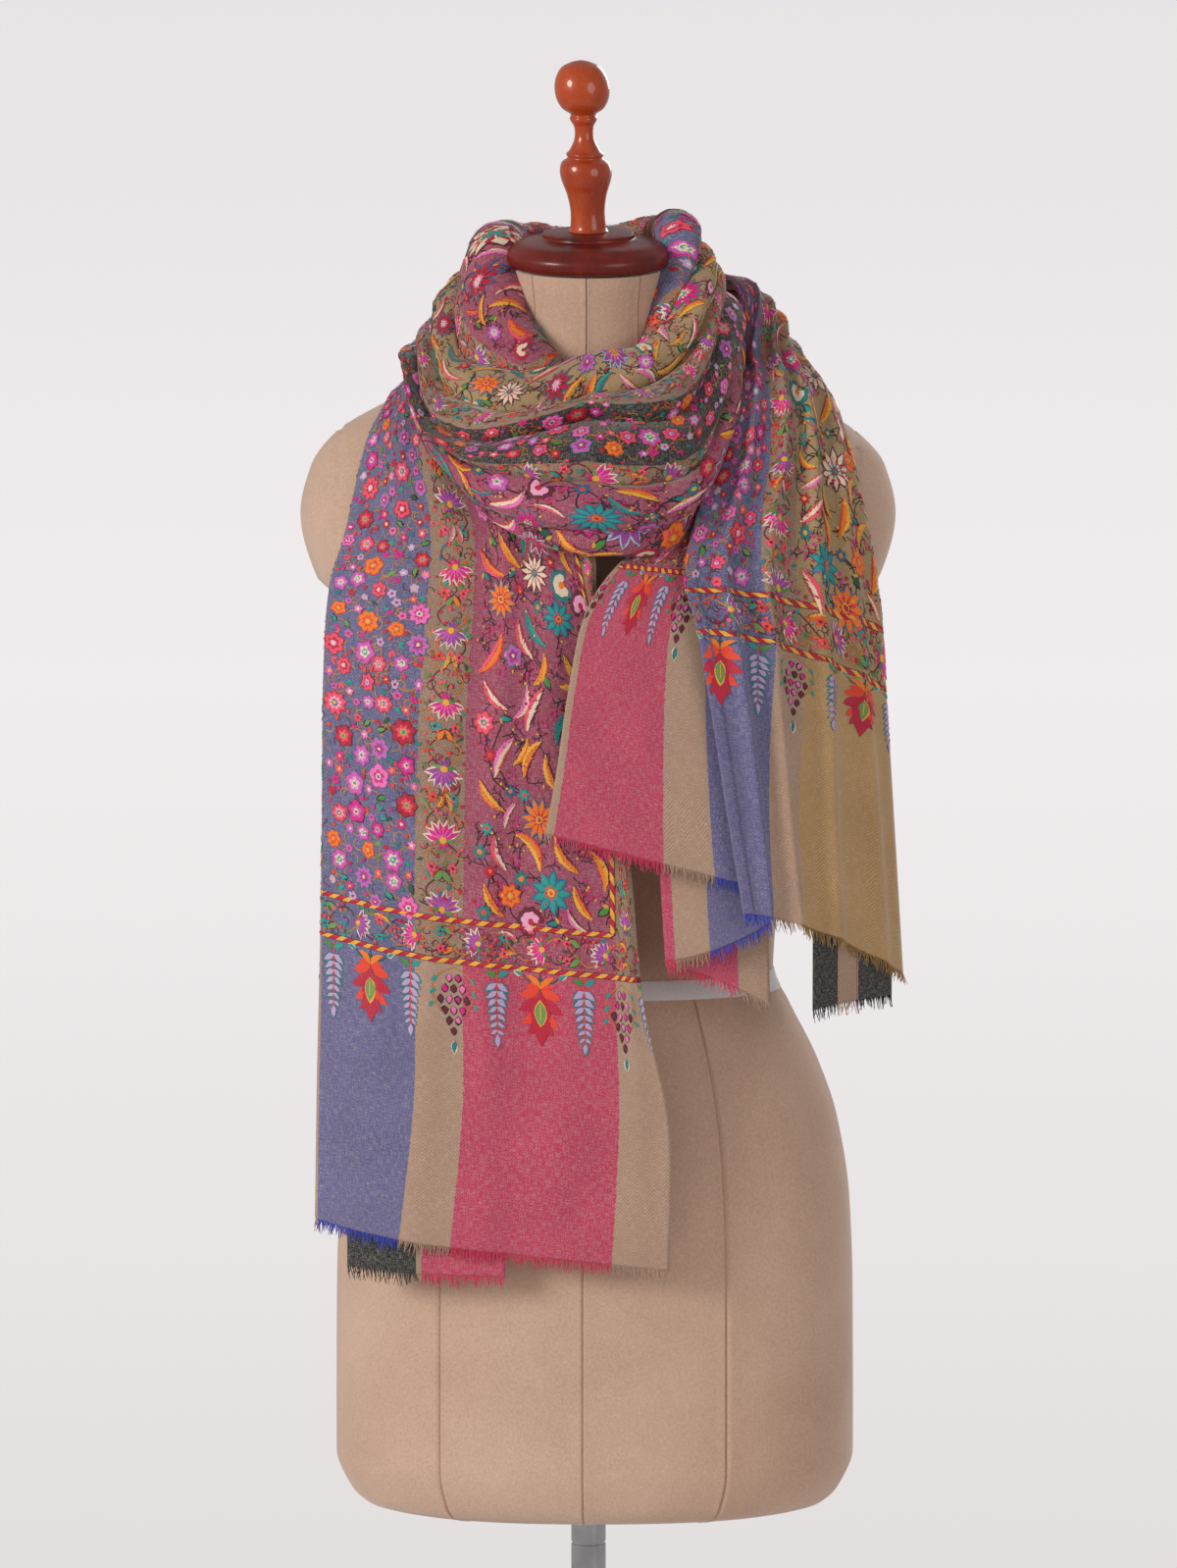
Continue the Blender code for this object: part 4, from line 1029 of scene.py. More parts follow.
wrapSetup = {
    # bearing, then radius and height of inner edge, crest, upper, outer and lower roll, lower edge
    "sections": (
        (0, 0.0605, 1.425, 0.0660, 1.439, 0.0980, 1.418, 0.1330, 1.389, 0.1490, 1.358, 0.1380, 1.347),
        (25, 0.0620, 1.432, 0.0650, 1.442, 0.0940, 1.423, 0.1230, 1.396, 0.1360, 1.366, 0.1280, 1.355),
        (45, 0.0590, 1.450, 0.0625, 1.459, 0.0820, 1.443, 0.1010, 1.421, 0.1090, 1.408, 0.1050, 1.402),
        (65, 0.0560, 1.480, 0.0600, 1.493, 0.0740, 1.480, 0.0870, 1.458, 0.0930, 1.444, 0.0900, 1.439),
        (90, 0.0530, 1.500, 0.0575, 1.524, 0.0680, 1.512, 0.0820, 1.490, 0.0870, 1.466, 0.0840, 1.457),
        (135, 0.0540, 1.503, 0.0590, 1.524, 0.0720, 1.514, 0.0860, 1.494, 0.0900, 1.466, 0.0860, 1.452),
        (180, 0.0540, 1.500, 0.0600, 1.520, 0.0740, 1.512, 0.0900, 1.490, 0.0940, 1.462, 0.0880, 1.447),
        (225, 0.0540, 1.497, 0.0600, 1.518, 0.0740, 1.508, 0.0920, 1.486, 0.1000, 1.462, 0.0960, 1.453),
        (270, 0.0525, 1.490, 0.0560, 1.513, 0.0720, 1.496, 0.0930, 1.472, 0.1020, 1.456, 0.0990, 1.4520),
        (295, 0.0530, 1.472, 0.0575, 1.488, 0.0780, 1.472, 0.1020, 1.451, 0.1130, 1.442, 0.1115, 1.4395),
        (315, 0.0570, 1.450, 0.0620, 1.461, 0.0880, 1.446, 0.1170, 1.418, 0.1290, 1.403, 0.1270, 1.3985),
        (337, 0.0610, 1.430, 0.0650, 1.442, 0.0950, 1.424, 0.1270, 1.397, 0.1410, 1.370, 0.1330, 1.360)),
    # bearing, share of the section that the upper turn takes, u at its top
    "tiers": (
        (0, 0.06, 0.285), (45, 0.16, 0.215), (90, 0.32, 0.150), (135, 0.26, 0.110), (180, 0.22, 0.090),
        (225, 0.30, 0.060), (270, 0.46, 0.045), (300, 0.48, 0.045), (325, 0.34, 0.060), (345, 0.17, 0.130)),
    "valleys": (0.0, 0.24, 0.46, 0.66, 0.84, 1.0), "wander": (0.0, 0.050, 0.065, 0.055, 0.035, 0.0),
    "foldHeight": 0.0155, "overhang": 0.6, "fullness": 0.66, "creaseHeight": 0.0013, "proud": 0.0008,
    "tierHeight": 0.9, "tierFullness": 0.8, "tierStretch": 4.5, "hidden": 0.010,
    "lowerU": (0.298, 0.615), "startV": 0.56, "seamRow": 6.0, "rows": 236, "columns": 170,
}


def makeWrap():
    s = wrapSetup
    table = np.array(s["sections"])
    bearingsKey = np.concatenate([table[:, 0], [360.0]])
    spots = np.linspace(0, 1, s["rows"] + 1)
    positions = (s["seamRow"] + spots * len(table)) % len(table)        # the ring's seam is at the back
    bearing = np.interp(positions, np.arange(len(bearingsKey)), bearingsKey)
    b = np.radians(bearing)[:, None]
    values = through(table[:, 1:], positions, closed=True)
    share = np.linspace(0, 1, s["columns"])
    rings = values.reshape(len(values), 6, 2)
    curve = np.stack([through(ring, share * 5) for ring in rings])
    slope = np.gradient(curve, axis=1)
    slope /= np.linalg.norm(slope, axis=2, keepdims=True)
    outR, outZ = -slope[..., 1], slope[..., 0]
    tier = np.array(s["tiers"])
    around = np.concatenate([tier[:, 0], [360.0]])
    split = between(around, np.concatenate([tier[:, 1], tier[:1, 1]]), bearing)[:, None]
    topU = between(around, np.concatenate([tier[:, 2], tier[:1, 2]]), bearing)[:, None]
    height = np.zeros((len(b), s["columns"]))
    u = np.zeros_like(height)
    valleys = []
    for n, (place, wander) in enumerate(zip(s["valleys"], s["wander"])):
        sway = np.sin(b * (1 + n % 2) + 1.9 * n) + 0.35 * np.sin(5 * b + 2.6 * n)
        valleys.append(split + (1 - split) * (place + wander * sway))
    lowU, highU = s["lowerU"]
    gaps = len(valleys) - 1
    shown = (highU - lowU - (gaps - 1) * s["hidden"]) / gaps
    inTier = share[None] < split
    t = np.clip(share[None] / split, 0, 1)
    hump = s["tierHeight"] * np.sin(pi * (t * 0.9 + 0.1)) ** s["tierFullness"]
    height = np.where(inTier, s["foldHeight"] * hump, height)
    u = np.where(inTier, topU + shown * s["tierStretch"] * t * split, u)
    strength = 0.72 + 0.28 * np.cos(b)
    for n in range(gaps):
        a, c = valleys[n], valleys[n + 1]
        t = np.clip((share[None] - a) / (c - a), 0, 1)
        inside = (share[None] >= a) & (share[None] < c) if n < gaps - 1 else share[None] >= a
        lopsided = t ** (0.85 + 0.15 * np.sin(3 * b + n))
        swell = 0.74 + 0.26 * np.sin(2 * b + 1.7 * n)
        hump = strength * swell * np.sin(pi * lopsided) ** s["fullness"]
        height = np.where(inside, s["foldHeight"] * hump, height)
        u = np.where(inside, lowU + n * (shown + s["hidden"]) + shown * t, u)
    # finer creases that run slantwise over the folds
    slant = np.sin(30 * share[None] + 7 * b + 1.5 * np.sin(3 * b)) * np.sin(4 * b + 8 * share[None])
    height = height + s["creaseHeight"] * (1 + slant) * np.sin(pi * share)[None]
    # each fold leans down over the valley under it
    lean = s["overhang"] * height
    radius = curve[..., 0] + outR * height + slope[..., 0] * lean
    z = curve[..., 1] + outZ * height + slope[..., 1] * lean
    points = np.stack([radius * np.sin(b), -radius * np.cos(b), z], -1)
    points[-1] = points[0]
    run = np.linalg.norm(np.diff(points[:, s["columns"] // 2], axis=0), axis=1)
    v = s["startV"] + np.concatenate([[0], np.cumsum(run)])
    return lay("neck_wrap", points, u, v, -1.0, s["proud"])


def makeCloth(stretch, closed=False):
    points, u, v = stretch["points"], stretch["u"], stretch["v"]
    rows, columns = u.shape
    ring = rows - 1 if closed else rows
    corner = np.array([(r, c) for r in range(rows - 1) for c in range(columns - 1)])
    r, c = corner[:, 0], corner[:, 1]
    order = ((r, c), (r + 1, c), (r + 1, c + 1), (r, c + 1))
    if stretch["side"] < 0:
        order = order[::-1]
    faces = np.stack([(a % ring) * columns + d for a, d in order], 1)
    mesh = bpy.data.meshes.new("cloth_" + stretch["name"])
    mesh.from_pydata(points[:ring].reshape(-1, 3).tolist(), [], faces.tolist())
    layer = mesh.uv_layers.new(name="ClothUV")
    places = np.stack([np.stack([u[a, d], v[a]], 1) for a, d in order], 1)
    layer.data.foreach_set("uv", places.reshape(-1).astype(np.float32))
    piece = addPiece("cloth_" + stretch["name"], mesh, clothMaterial)
    wall = piece.modifiers.new("ClothWall", "SOLIDIFY")
    wall.thickness = clothWall
    wall.offset = -1
    return piece


leftTail, leftLower = makeLeftTail()
ridgePanel, outerLower = makeRidgePanel()
underPanel = makePlainPanel("right_under_panel", underSetup, 56)
innerFront = makePlainPanel("right_lower_front", innerFrontSetup, 30)
innerBack = makePlainPanel("right_lower_back", innerBackSetup, 30)
wrap = makeWrap()
clothPieces = {}
for stretch, node in ((leftTail, "shawl_left_tail"), (leftLower, "shawl_left_lower_layer"),
                      (ridgePanel, "shawl_right_ridge_panel"), (outerLower, "shawl_right_lower_outer"),
                      (underPanel, "shawl_right_under_panel"), (innerFront, "shawl_right_lower_front"),
                      (innerBack, "shawl_right_lower_back"), (wrap, "shawl_neck_wrap")):
    clothPieces[stretch["name"]] = setIn(makeCloth(stretch, stretch is wrap), "pashmina", node)
print("cloth: made")

# embroidery: flat motifs drawn on the cloth's own u and v, then laid on its surface
threadColours = {
    "magenta": "D81E86", "pink": "EE74B4", "lightPink": "F0A8C8", "coral": "EE5268", "crimson": "BE1838",
    "redOrange": "EC4326", "orange": "F07E22", "gold": "F0B03C", "turquoise": "1C9A90", "teal": "2A7A7E",
    "blueTeal": "2C688C", "green": "4C8A3C", "darkGreen": "1E5642", "leafGreen": "6E9A50",
    "purple": "9A4498", "lilac": "C0A4CC", "orchid": "CC62B4",
    "cream": "EAD4B8", "maroon": "6A1C30", "nearBlack": "241820", "vineGold": "C47C34",
    "paleBlue": "A8C8DC", "ochre": "D89A3A", "olive": "7C7C34",
}
threadColours = {name: linear(code) for name, code in threadColours.items()}
# how far each layer of stitches lies above the cloth, and how much a shape swells
lifts = {
    "vine": 0.00022, "outline": 0.00030, "petal": 0.00042, "inner": 0.00056, "heart": 0.00070,
    "puff": 0.00018,
}


hand = np.random.default_rng(3)            # no two stitches fall quite alike


def oneOf(rng, names):
    names = names.split()
    return names[rng.integers(len(names))]


def newStore():
    return {"points": [], "thread": [], "colours": [], "faces": [], "count": 0}


def put(store, u, v, turn, size, shape, colour, layer, over=0.0, ragged=0.00022):
    # one shape laid at u and v; over lifts it a little above its layer
    points, faces = shape
    c, s = cos(turn) * size, sin(turn) * size
    x, y = (points[:, :2] + hand.normal(0, ragged / size, (len(points), 2))).T
    height = points[:, 2] * lifts["puff"] + lifts[layer] + over
    store["points"].append(np.stack([u + c * x - s * y, v + s * x + c * y, height], 1))
    store["thread"].append(points[:, :2] * size)
    store["colours"].append(np.broadcast_to(threadColours[colour], (len(points), 3)))
    store["faces"].append(faces + store["count"] * (faces >= 0))
    store["count"] += len(points)


@functools.lru_cache(maxsize=None)
def petalShape(ratio, tip="round", stations=3, bend=0.0, start=0.0):
    # a petal or leaf one long along x, raised along its middle; start is where it begins
    t = (np.arange(1, stations + 1)) / (stations + 1)
    if tip == "round":
        half = np.sin(pi * t ** 0.72) ** 0.55
        t = t ** 0.8
    else:
        half = np.sin(pi * t ** 0.8) ** 0.85
    half = half * ratio / 2
    x = start + (1 - start) * t
    arch = bend * 4 * x * (1 - x)
    points = [(start, 0, 0)]
    for px, ph, pa in zip(x, half, arch):
        points += [(px, pa + ph, 0), (px, pa, 1), (px, pa - ph, 0)]
    points.append((1, 0, 0))
    faces = [(0, 2, 1, -1), (0, 3, 2, -1)]
    for n in range(stations - 1):
        a = 1 + 3 * n
        faces += [(a, a + 1, a + 4, a + 3), (a + 1, a + 2, a + 5, a + 4)]
    a = 1 + 3 * (stations - 1)
    faces += [(a, a + 1, a + 3, -1), (a + 1, a + 2, a + 3, -1)]
    return np.array(points, float), np.array(faces)


def leafShape(ratio, stations=2, bend=0.0):
    return petalShape(ratio, "pointed", stations, bend)


@functools.lru_cache(maxsize=None)
def discShape(sides):
    points = [(0, 0, 1)] + [(cos(tau * n / sides), sin(tau * n / sides), 0) for n in range(sides)]
    faces = [(0, 1 + n, 1 + (n + 1) % sides, -1) for n in range(sides)]
    return np.array(points, float), np.array(faces)


@functools.lru_cache(maxsize=None)
def featherShape(barbs, half, bend, ratio=0.30):
    # one side of a serrated, curved leaf: barbs along a bowed spine
    t = np.linspace(0, 1, barbs + 1)
    spineX, spineY = t, bend * 4 * t * (1 - t)
    width = ratio / 2 * np.sin(pi * np.clip(t * 0.92 + 0.05, 0, 1)) ** 0.7
    points, faces = [], []
    for n in range(barbs):
        a = len(points)
        tipX, tipY = spineX[n + 1] + 0.05, spineY[n + 1] + half * width[n + 1]
        midX, midY = spineX[n] + 0.02, spineY[n] + half * width[n] * 0.72
        points += [(spineX[n], spineY[n], 1), (spineX[n + 1], spineY[n + 1], 1), (tipX, tipY, 0),
                   (midX, midY, 0)]
        faces.append((a, a + 1, a + 2, a + 3) if half > 0 else (a + 3, a + 2, a + 1, a))
    return np.array(points, float), np.array(faces)


def ribbon(store, path, width, colour, layer="vine", taper=False, over=0.0):
    path = np.asarray(path, float)
    along = np.gradient(path, axis=0)
    along /= np.maximum(np.linalg.norm(along, axis=1, keepdims=True), 1e-9)
    side = np.stack([-along[:, 1], along[:, 0]], 1)
    half = width / 2 * (np.linspace(1, 0.45, len(path)) if taper else np.ones(len(path)))[:, None]
    count = len(path)
    flat = np.concatenate([path + side * half, path - side * half])
    run = np.concatenate([[0], np.cumsum(np.linalg.norm(np.diff(path, axis=0), axis=1))])
    store["points"].append(np.concatenate([flat, np.full((2 * count, 1), lifts[layer] + over)], 1))
    store["thread"].append(np.stack([np.tile(run, 2), np.repeat([width, 0], count)], 1))
    store["colours"].append(np.broadcast_to(threadColours[colour], (2 * count, 3)))
    n = np.arange(count - 1)
    store["faces"].append(np.stack([n + count, n + count + 1, n + 1, n], 1) + store["count"])
    store["count"] += 2 * count


def bow(start, end, swing, count=7):
    # a curved path between two places
    start, end = np.asarray(start, float), np.asarray(end, float)
    t = np.linspace(0, 1, count)[:, None]
    along = end - start
    side = np.array([-along[1], along[0]])
    return start + along * t + side * swing * 4 * t * (1 - t)


def petals(store, u, v, turn, radius, count, ratio, tip, colours, fan=tau, start=0.0, white=1.16):
    outline, outer, inner = colours
    whole = fan > 6
    for n in range(count):
        a = turn + (fan * n / count if whole else fan * (n / (count - 1) - 0.5))
        if outline:
            stations = 2 if tip == "round" else 3
            under = petalShape(ratio * white + 0.05, tip, stations, 0.0, start * 0.8)
            put(store, u, v, a, radius * 1.09, under, outline, "outline")
        put(store, u, v, a, radius, petalShape(ratio, tip, 3, 0.0, start), outer, "petal")
        if inner:
            put(store, u, v, a, radius * 0.62, petalShape(ratio * 0.78, tip, 2, 0.0, start), inner, "inner")


def heart(store, u, v, radius, ring, middle):
    put(store, u, v, 0, radius, discShape(8), ring, "heart")
    put(store, u, v, 0.3, radius * 0.55, discShape(6), middle, "heart", 0.00012)


roseSets = (
    # edge, petals, inner petals, ring and middle
    "crimson coral crimson lightPink cream", "maroon coral magenta lightPink turquoise",
    "purple orchid lightPink cream turquoise", "magenta orchid cream turquoise cream",
    "maroon crimson coral ochre turquoise", "redOrange orange redOrange ochre gold",
    "purple pink magenta cream teal", "crimson coral lightPink teal gold",
    "maroon magenta orchid cream crimson", "teal orchid purple crimson cream",
)
starSets = (
    "blueTeal crimson maroon lightPink cream", "blueTeal turquoise teal redOrange gold",
    "paleBlue crimson magenta turquoise crimson", "maroon cream crimson turquoise crimson",
    "teal magenta crimson cream turquoise", "blueTeal orange redOrange crimson gold",
    "paleBlue purple orchid gold crimson", "blueTeal turquoise blueTeal crimson orange",
)


def rose(store, rng, u, v, radius):
    outline, outer, inner, ring, middle = roseSets[rng.integers(len(roseSets))].split()
    count = int(rng.integers(5, 8)) if radius < 0.0075 else int(rng.integers(7, 10))
    turn = rng.random() * tau
    petals(store, u, v, turn, radius, count, 4.6 / count, "round" if rng.random() < 0.6 else "pointed",
           (outline, outer, inner))
    heart(store, u, v, radius * 0.30, ring, middle)


def star(store, rng, u, v, radius):
    outline, outer, inner, ring, middle = starSets[rng.integers(len(starSets))].split()
    count = int(rng.integers(9, 13))
    turn = rng.random() * tau
    petals(store, u, v, turn, radius, count, 3.3 / count, "pointed", (outline, outer, None))
    petals(store, u, v, turn + pi / count, radius * 0.66, count, 3.4 / count, "pointed",
           (None, inner, ring))
    heart(store, u, v, radius * 0.20, middle, ring)


def kidney(store, rng, u, v, radius):
    # a bean with a scalloped rim, filled pale
    turn = rng.random() * tau
    sets = ("crimson cream crimson", "maroon lightPink crimson", "teal cream orange")
    rim, fill, core = sets[rng.integers(3)].split()
    for n in range(9):
        a = turn - 2.2 + n * 0.55
        put(store, u + 0.45 * radius * cos(a), v + 0.45 * radius * sin(a), a, radius * 0.62,
            petalShape(0.9, "round", 2), rim, "petal")
    for n in range(6):
        a = turn - 1.9 + n * 0.76
        put(store, u + 0.42 * radius * cos(a), v + 0.42 * radius * sin(a), a, radius * 0.30,
            discShape(7), fill, "inner")
    put(store, u, v, turn, radius * 0.30, discShape(7), core, "inner")


def fan(store, rng, u, v, turn, radius, outer, inner):
    petals(store, u, v, turn, radius, 7, 0.24, "pointed", ("cream", outer, None), fan=2.5, start=0.10,
           white=1.3)
    petals(store, u, v, turn, radius * 0.72, 6, 0.16, "pointed", (None, inner, None), fan=2.1, start=0.10)
    petals(store, u, v, turn + pi, radius * 0.60, 3, 0.26, "pointed", (None, outer, None), fan=1.1)
    for k in (-1, 1):
        leaf(store, rng, u, v, turn + k * 1.75, radius * 0.62, "leafGreen" if k > 0 else "green")
    put(store, u, v, turn, radius * 0.20, discShape(6), "gold", "heart")


def feather(store, rng, u, v, turn, length, bend=None):
    pairs = (("orange", "gold"), ("gold", "orange"), ("cream", "pink"), ("orange", "gold"),
             ("turquoise", "teal"), ("orange", "coral"), ("gold", "ochre"), ("cream", "coral"))
    one, two = pairs[rng.integers(len(pairs))]
    edge = oneOf(rng, "crimson redOrange maroon")
    bend = float(rng.choice((-0.17, -0.12, 0.12, 0.17))) if bend is None else bend
    put(store, u, v, turn, length, featherShape(10, 1.0, bend, 0.34), edge, "outline")
    for side, colour in ((1.0, one), (-1.0, two)):
        put(store, u, v, turn, length, featherShape(10, side, bend, 0.24), colour, "petal")


def leaf(store, rng, u, v, turn, length, colour=None, edge=None):
    colour = colour or oneOf(rng, "green darkGreen teal turquoise green olive")
    if edge:
        put(store, u, v, turn, length * 1.12, leafShape(0.58), edge, "outline", -0.00005)
    put(store, u, v, turn, length, leafShape(0.44), colour, "petal", -0.00006)


def berry(store, u, v, radius, colour):
    put(store, u, v, 0, radius, discShape(6), colour, "inner")


def scatter(rng, low, high, sizes, tries=300, gap=1.0):
    # places with no overlap, in the order given: (u, v, radius, kind, turn); a long motif takes three discs
    found, discs = [], np.zeros((0, 3))
    area = (high[0] - low[0]) * (high[1] - low[1])
    for kind, radius, share in sizes:
        long = kind == "feather"
        wanted = int(share * area / (pi * radius ** 2)) + 1
        missed = 0
        while wanted > 0 and missed < tries:
            u = low[0] + radius * 0.6 + rng.random() * max(high[0] - low[0] - radius * 1.2, 0)
            v = low[1] + rng.random() * (high[1] - low[1])
            r = radius * (0.86 + 0.28 * rng.random())
            if long:
                turn = rng.choice((1.15, 1.9, 2.3, 0.75)) + rng.uniform(-0.25, 0.25)
            else:
                turn = rng.random() * tau
            thick = r * 0.34 if long else r
            steps = (-0.7, 0, 0.7) if long else (0,)
            new = [(u + k * r * cos(turn), v + k * r * sin(turn), thick) for k in steps]
            apart = [(discs[:, 0] - a) ** 2 + (discs[:, 1] - b) ** 2 > ((discs[:, 2] + c) * gap) ** 2
                     for a, b, c in new]
            if np.all(apart) and all(low[0] < a < high[0] for a, _, _ in new):
                found.append((u, v, r, kind, turn))
                discs = np.concatenate([discs, np.array(new)])
                wanted -= 1
            else:
                missed += 1
    return found


def joinUp(store, rng, spots, colour, width, reach, kinds):
    # stems from each flower to the ones beside it
    for i, (u, v, _, kind, _) in enumerate(spots):
        if kind not in kinds:
            continue
        near = sorted(((a - u) ** 2 + (b - v) ** 2, j)
                      for j, (a, b, _, k, _) in enumerate(spots) if j != i and k in kinds)
        for gap, j in near[:2]:
            if gap < reach ** 2 and (j > i or gap > (reach * 0.5) ** 2):
                ribbon(store, bow((u, v), spots[j][:2], rng.uniform(-0.35, 0.35), 8), width, colour)


def meadow(store, rng, low, high):
    # blue and black stripes: a close field of small roses, leaves and fine gold vines
    kinds = (("rose", 0.0074, 0.17), ("rose", 0.0056, 0.14), ("small", 0.0031, 0.17),
             ("leaf", 0.0036, 0.20), ("bud", 0.0024, 0.16), ("berry", 0.0014, 0.08))
    spots = scatter(rng, low, high, kinds, gap=0.98)
    joinUp(store, rng, spots, "vineGold", 0.0007, 0.026, ("rose", "small", "leaf"))
    for u, v, r, kind, turn in spots:
        if kind == "rose":
            rose(store, rng, u, v, r)
        elif kind == "small":
            colour = oneOf(rng, "magenta coral orchid pink lilac crimson")
            petals(store, u, v, turn, r, 5, 0.85, "round", (None, colour, None))
            berry(store, u, v, r * 0.36, oneOf(rng, "gold crimson cream"))
        elif kind == "leaf":
            one = oneOf(rng, "leafGreen green turquoise leafGreen darkGreen maroon")
            leaf(store, rng, u - 0.8 * r * cos(turn), v - 0.8 * r * sin(turn), turn, r * 1.9, one,
                 "nearBlack" if rng.random() < 0.5 else None)
        elif kind == "bud":
            one = oneOf(rng, "turquoise magenta crimson turquoise teal coral")
            for side in (-0.5, 0.5):
                leaf(store, rng, u, v, turn + side, r * 1.9, one)
        else:
            berry(store, u, v, r, oneOf(rng, "redOrange crimson magenta"))
    for _ in range(int((high[0] - low[0]) * (high[1] - low[1]) / 0.00009)):
        u, v = rng.uniform(low[0], high[0]), rng.uniform(low[1], high[1])
        turn, size = rng.random() * tau, rng.uniform(0.004, 0.008)
        curl = np.linspace(0, 3.6 * rng.choice((-1, 1)), 8)
        reach = size * (1 - np.abs(curl) / 6)
        path = np.stack([u + reach * np.cos(turn + curl) * 0.7, v + reach * np.sin(turn + curl) * 0.7], 1)
        ribbon(store, path, 0.0006, oneOf(rng, "vineGold vineGold ochre maroon"), taper=True)


def garden(store, rng, low, high):
    # pink and mustard stripes: big flowers, beans and feathered leaves on dark stems
    kinds = (("star", 0.0140, 0.17), ("feather", 0.0130, 0.58), ("kidney", 0.0092, 0.06),
             ("rose", 0.0080, 0.10), ("feather", 0.0095, 0.30), ("small", 0.0048, 0.10),
             ("leaf", 0.0042, 0.12), ("berry", 0.0024, 0.07))
    spots = scatter(rng, low, high, kinds, gap=0.95)
    joinUp(store, rng, spots, "nearBlack", 0.0007, 0.032, ("star", "kidney", "rose", "small", "leaf"))
    for u, v, r, kind, turn in spots:
        if kind == "star":
            star(store, rng, u, v, r)
        elif kind == "kidney":
            kidney(store, rng, u, v, r)
        elif kind == "rose":
            rose(store, rng, u, v, r)
        elif kind == "small":
            petals(store, u, v, turn, r, 6, 0.62, "pointed",
                   (None, oneOf(rng, "turquoise blueTeal crimson teal"), None))
            berry(store, u, v, r * 0.36, oneOf(rng, "redOrange gold orange"))
        elif kind == "feather":
            feather(store, rng, u - cos(turn) * r, v - sin(turn) * r, turn, r * 2)
        elif kind == "leaf":
            leaf(store, rng, u - r * cos(turn), v - r * sin(turn), turn, r * 2.2,
                 oneOf(rng, "teal green darkGreen turquoise"), "nearBlack")
            leaf(store, rng, u - r * cos(turn), v - r * sin(turn), turn + 0.9, r * 1.3, "ochre")
        else:
            for n in range(3):
                colour = "magenta" if n else "crimson"
                berry(store, u + r * cos(2.1 * n), v + r * sin(2.1 * n), 0.0012, colour)
    for _ in range(int((high[0] - low[0]) * (high[1] - low[1]) / 0.00013)):
        # a thorny black twig
        u, v, turn = rng.uniform(low[0], high[0]), rng.uniform(low[1], high[1]), rng.random() * tau
        end = (u + 0.011 * cos(turn), v + 0.011 * sin(turn))
        path = bow((u, v), end, rng.uniform(-0.3, 0.3), 6)
        ribbon(store, path, 0.0007, "nearBlack", taper=True)
        for n, side in ((2, 0.9), (3, -0.9), (4, 0.8)):
            tip = path[n] + 0.0032 * np.array([cos(turn + side), sin(turn + side)])
            ribbon(store, np.array([path[n], tip]), 0.0006, "nearBlack")
            if rng.random() < 0.5:
                berry(store, tip[0], tip[1], 0.0009, oneOf(rng, "magenta crimson gold"))


def border(store, rng, low, high, along="v"):
    # beige stripes and the band between the ropes: a scrolling vine with fan flowers
    start, end = (low[1], high[1]) if along == "v" else (low[0], high[0])
    middle = 0.5 * (low[0] + high[0]) if along == "v" else 0.5 * (low[1] + high[1])
    wide = (high[0] - low[0]) if along == "v" else (high[1] - low[1])

    def at(run, off):
        # a place so far along the band and so far off its middle
        return (middle + off, run) if along == "v" else (run, middle + off)

    base = pi / 2 if along == "v" else 0.0
    pitch, swing = 0.084, wide * 0.34
    run = np.linspace(start, end, int((end - start) / 0.002) + 2)
    for phase, colour in ((0.0, "maroon"), (pi, "vineGold")):
        wave = swing * np.sin(tau * run / (pitch / 2) + phase)
        ribbon(store, np.array([at(a, b) for a, b in zip(run, wave)]), 0.0009, colour)
    for n in range(math.ceil(start / (pitch / 2)), int(end / (pitch / 2)) + 1):
        place = n * pitch / 2
        outer, inner = (("magenta", "pink"), ("purple", "orchid"))[n % 2]
        u, v = at(place, 0.0)
        tilt = (0.25 if n % 2 else -0.25) + rng.uniform(-0.2, 0.2)
        fan(store, rng, u, v, base + tilt + (pi if rng.random() < 0.35 else 0), wide * 0.40, outer, inner)
        for k in (-1, 1):
            u, v = at(place + pitch * 0.20, k * wide * 0.16)
            if (n + k) % 2:
                feather(store, rng, u, v, base + k * 0.35, 0.0125, 0.12)
            else:
                leaf(store, rng, u, v, base + k * 0.6, 0.0085, oneOf(rng, "orange leafGreen turquoise"),
                     "maroon")
            u, v = at(place + pitch * 0.30, -k * wide * 0.22)
            petals(store, u, v, base, 0.0036, 5, 0.6, "pointed",
                   (None, oneOf(rng, "redOrange turquoise coral"), None))
            berry(store, u, v, 0.0011, "maroon")
    for _ in range(int((end - start) * wide / 0.000022)):
        place, off = rng.uniform(start, end), rng.uniform(-0.44, 0.44) * wide
        u, v = at(place, off)
        draw = rng.random()
        if draw < 0.40:
            berry(store, u, v, 0.0012, oneOf(rng, "coral crimson coral redOrange"))
        elif draw < 0.62:
            leaf(store, rng, u, v, rng.random() * tau, 0.0046)
        else:
            turn, curl = rng.random() * tau, np.linspace(0, 4.4, 8)
            reach = 0.0030 * (1 - curl / 7)
            path = np.stack([u + reach * np.cos(turn + curl), v + reach * np.sin(turn + curl)], 1)
            ribbon(store, path, 0.0007, "maroon" if draw < 0.9 else "vineGold", taper=True)


ropeSetup = {
    "low": 0.178, "high": 0.204, "upright": 0.037, "width": 0.0030, "pitch": 0.0105,
    "repeat": 0.115, "firstBud": 0.085,
}


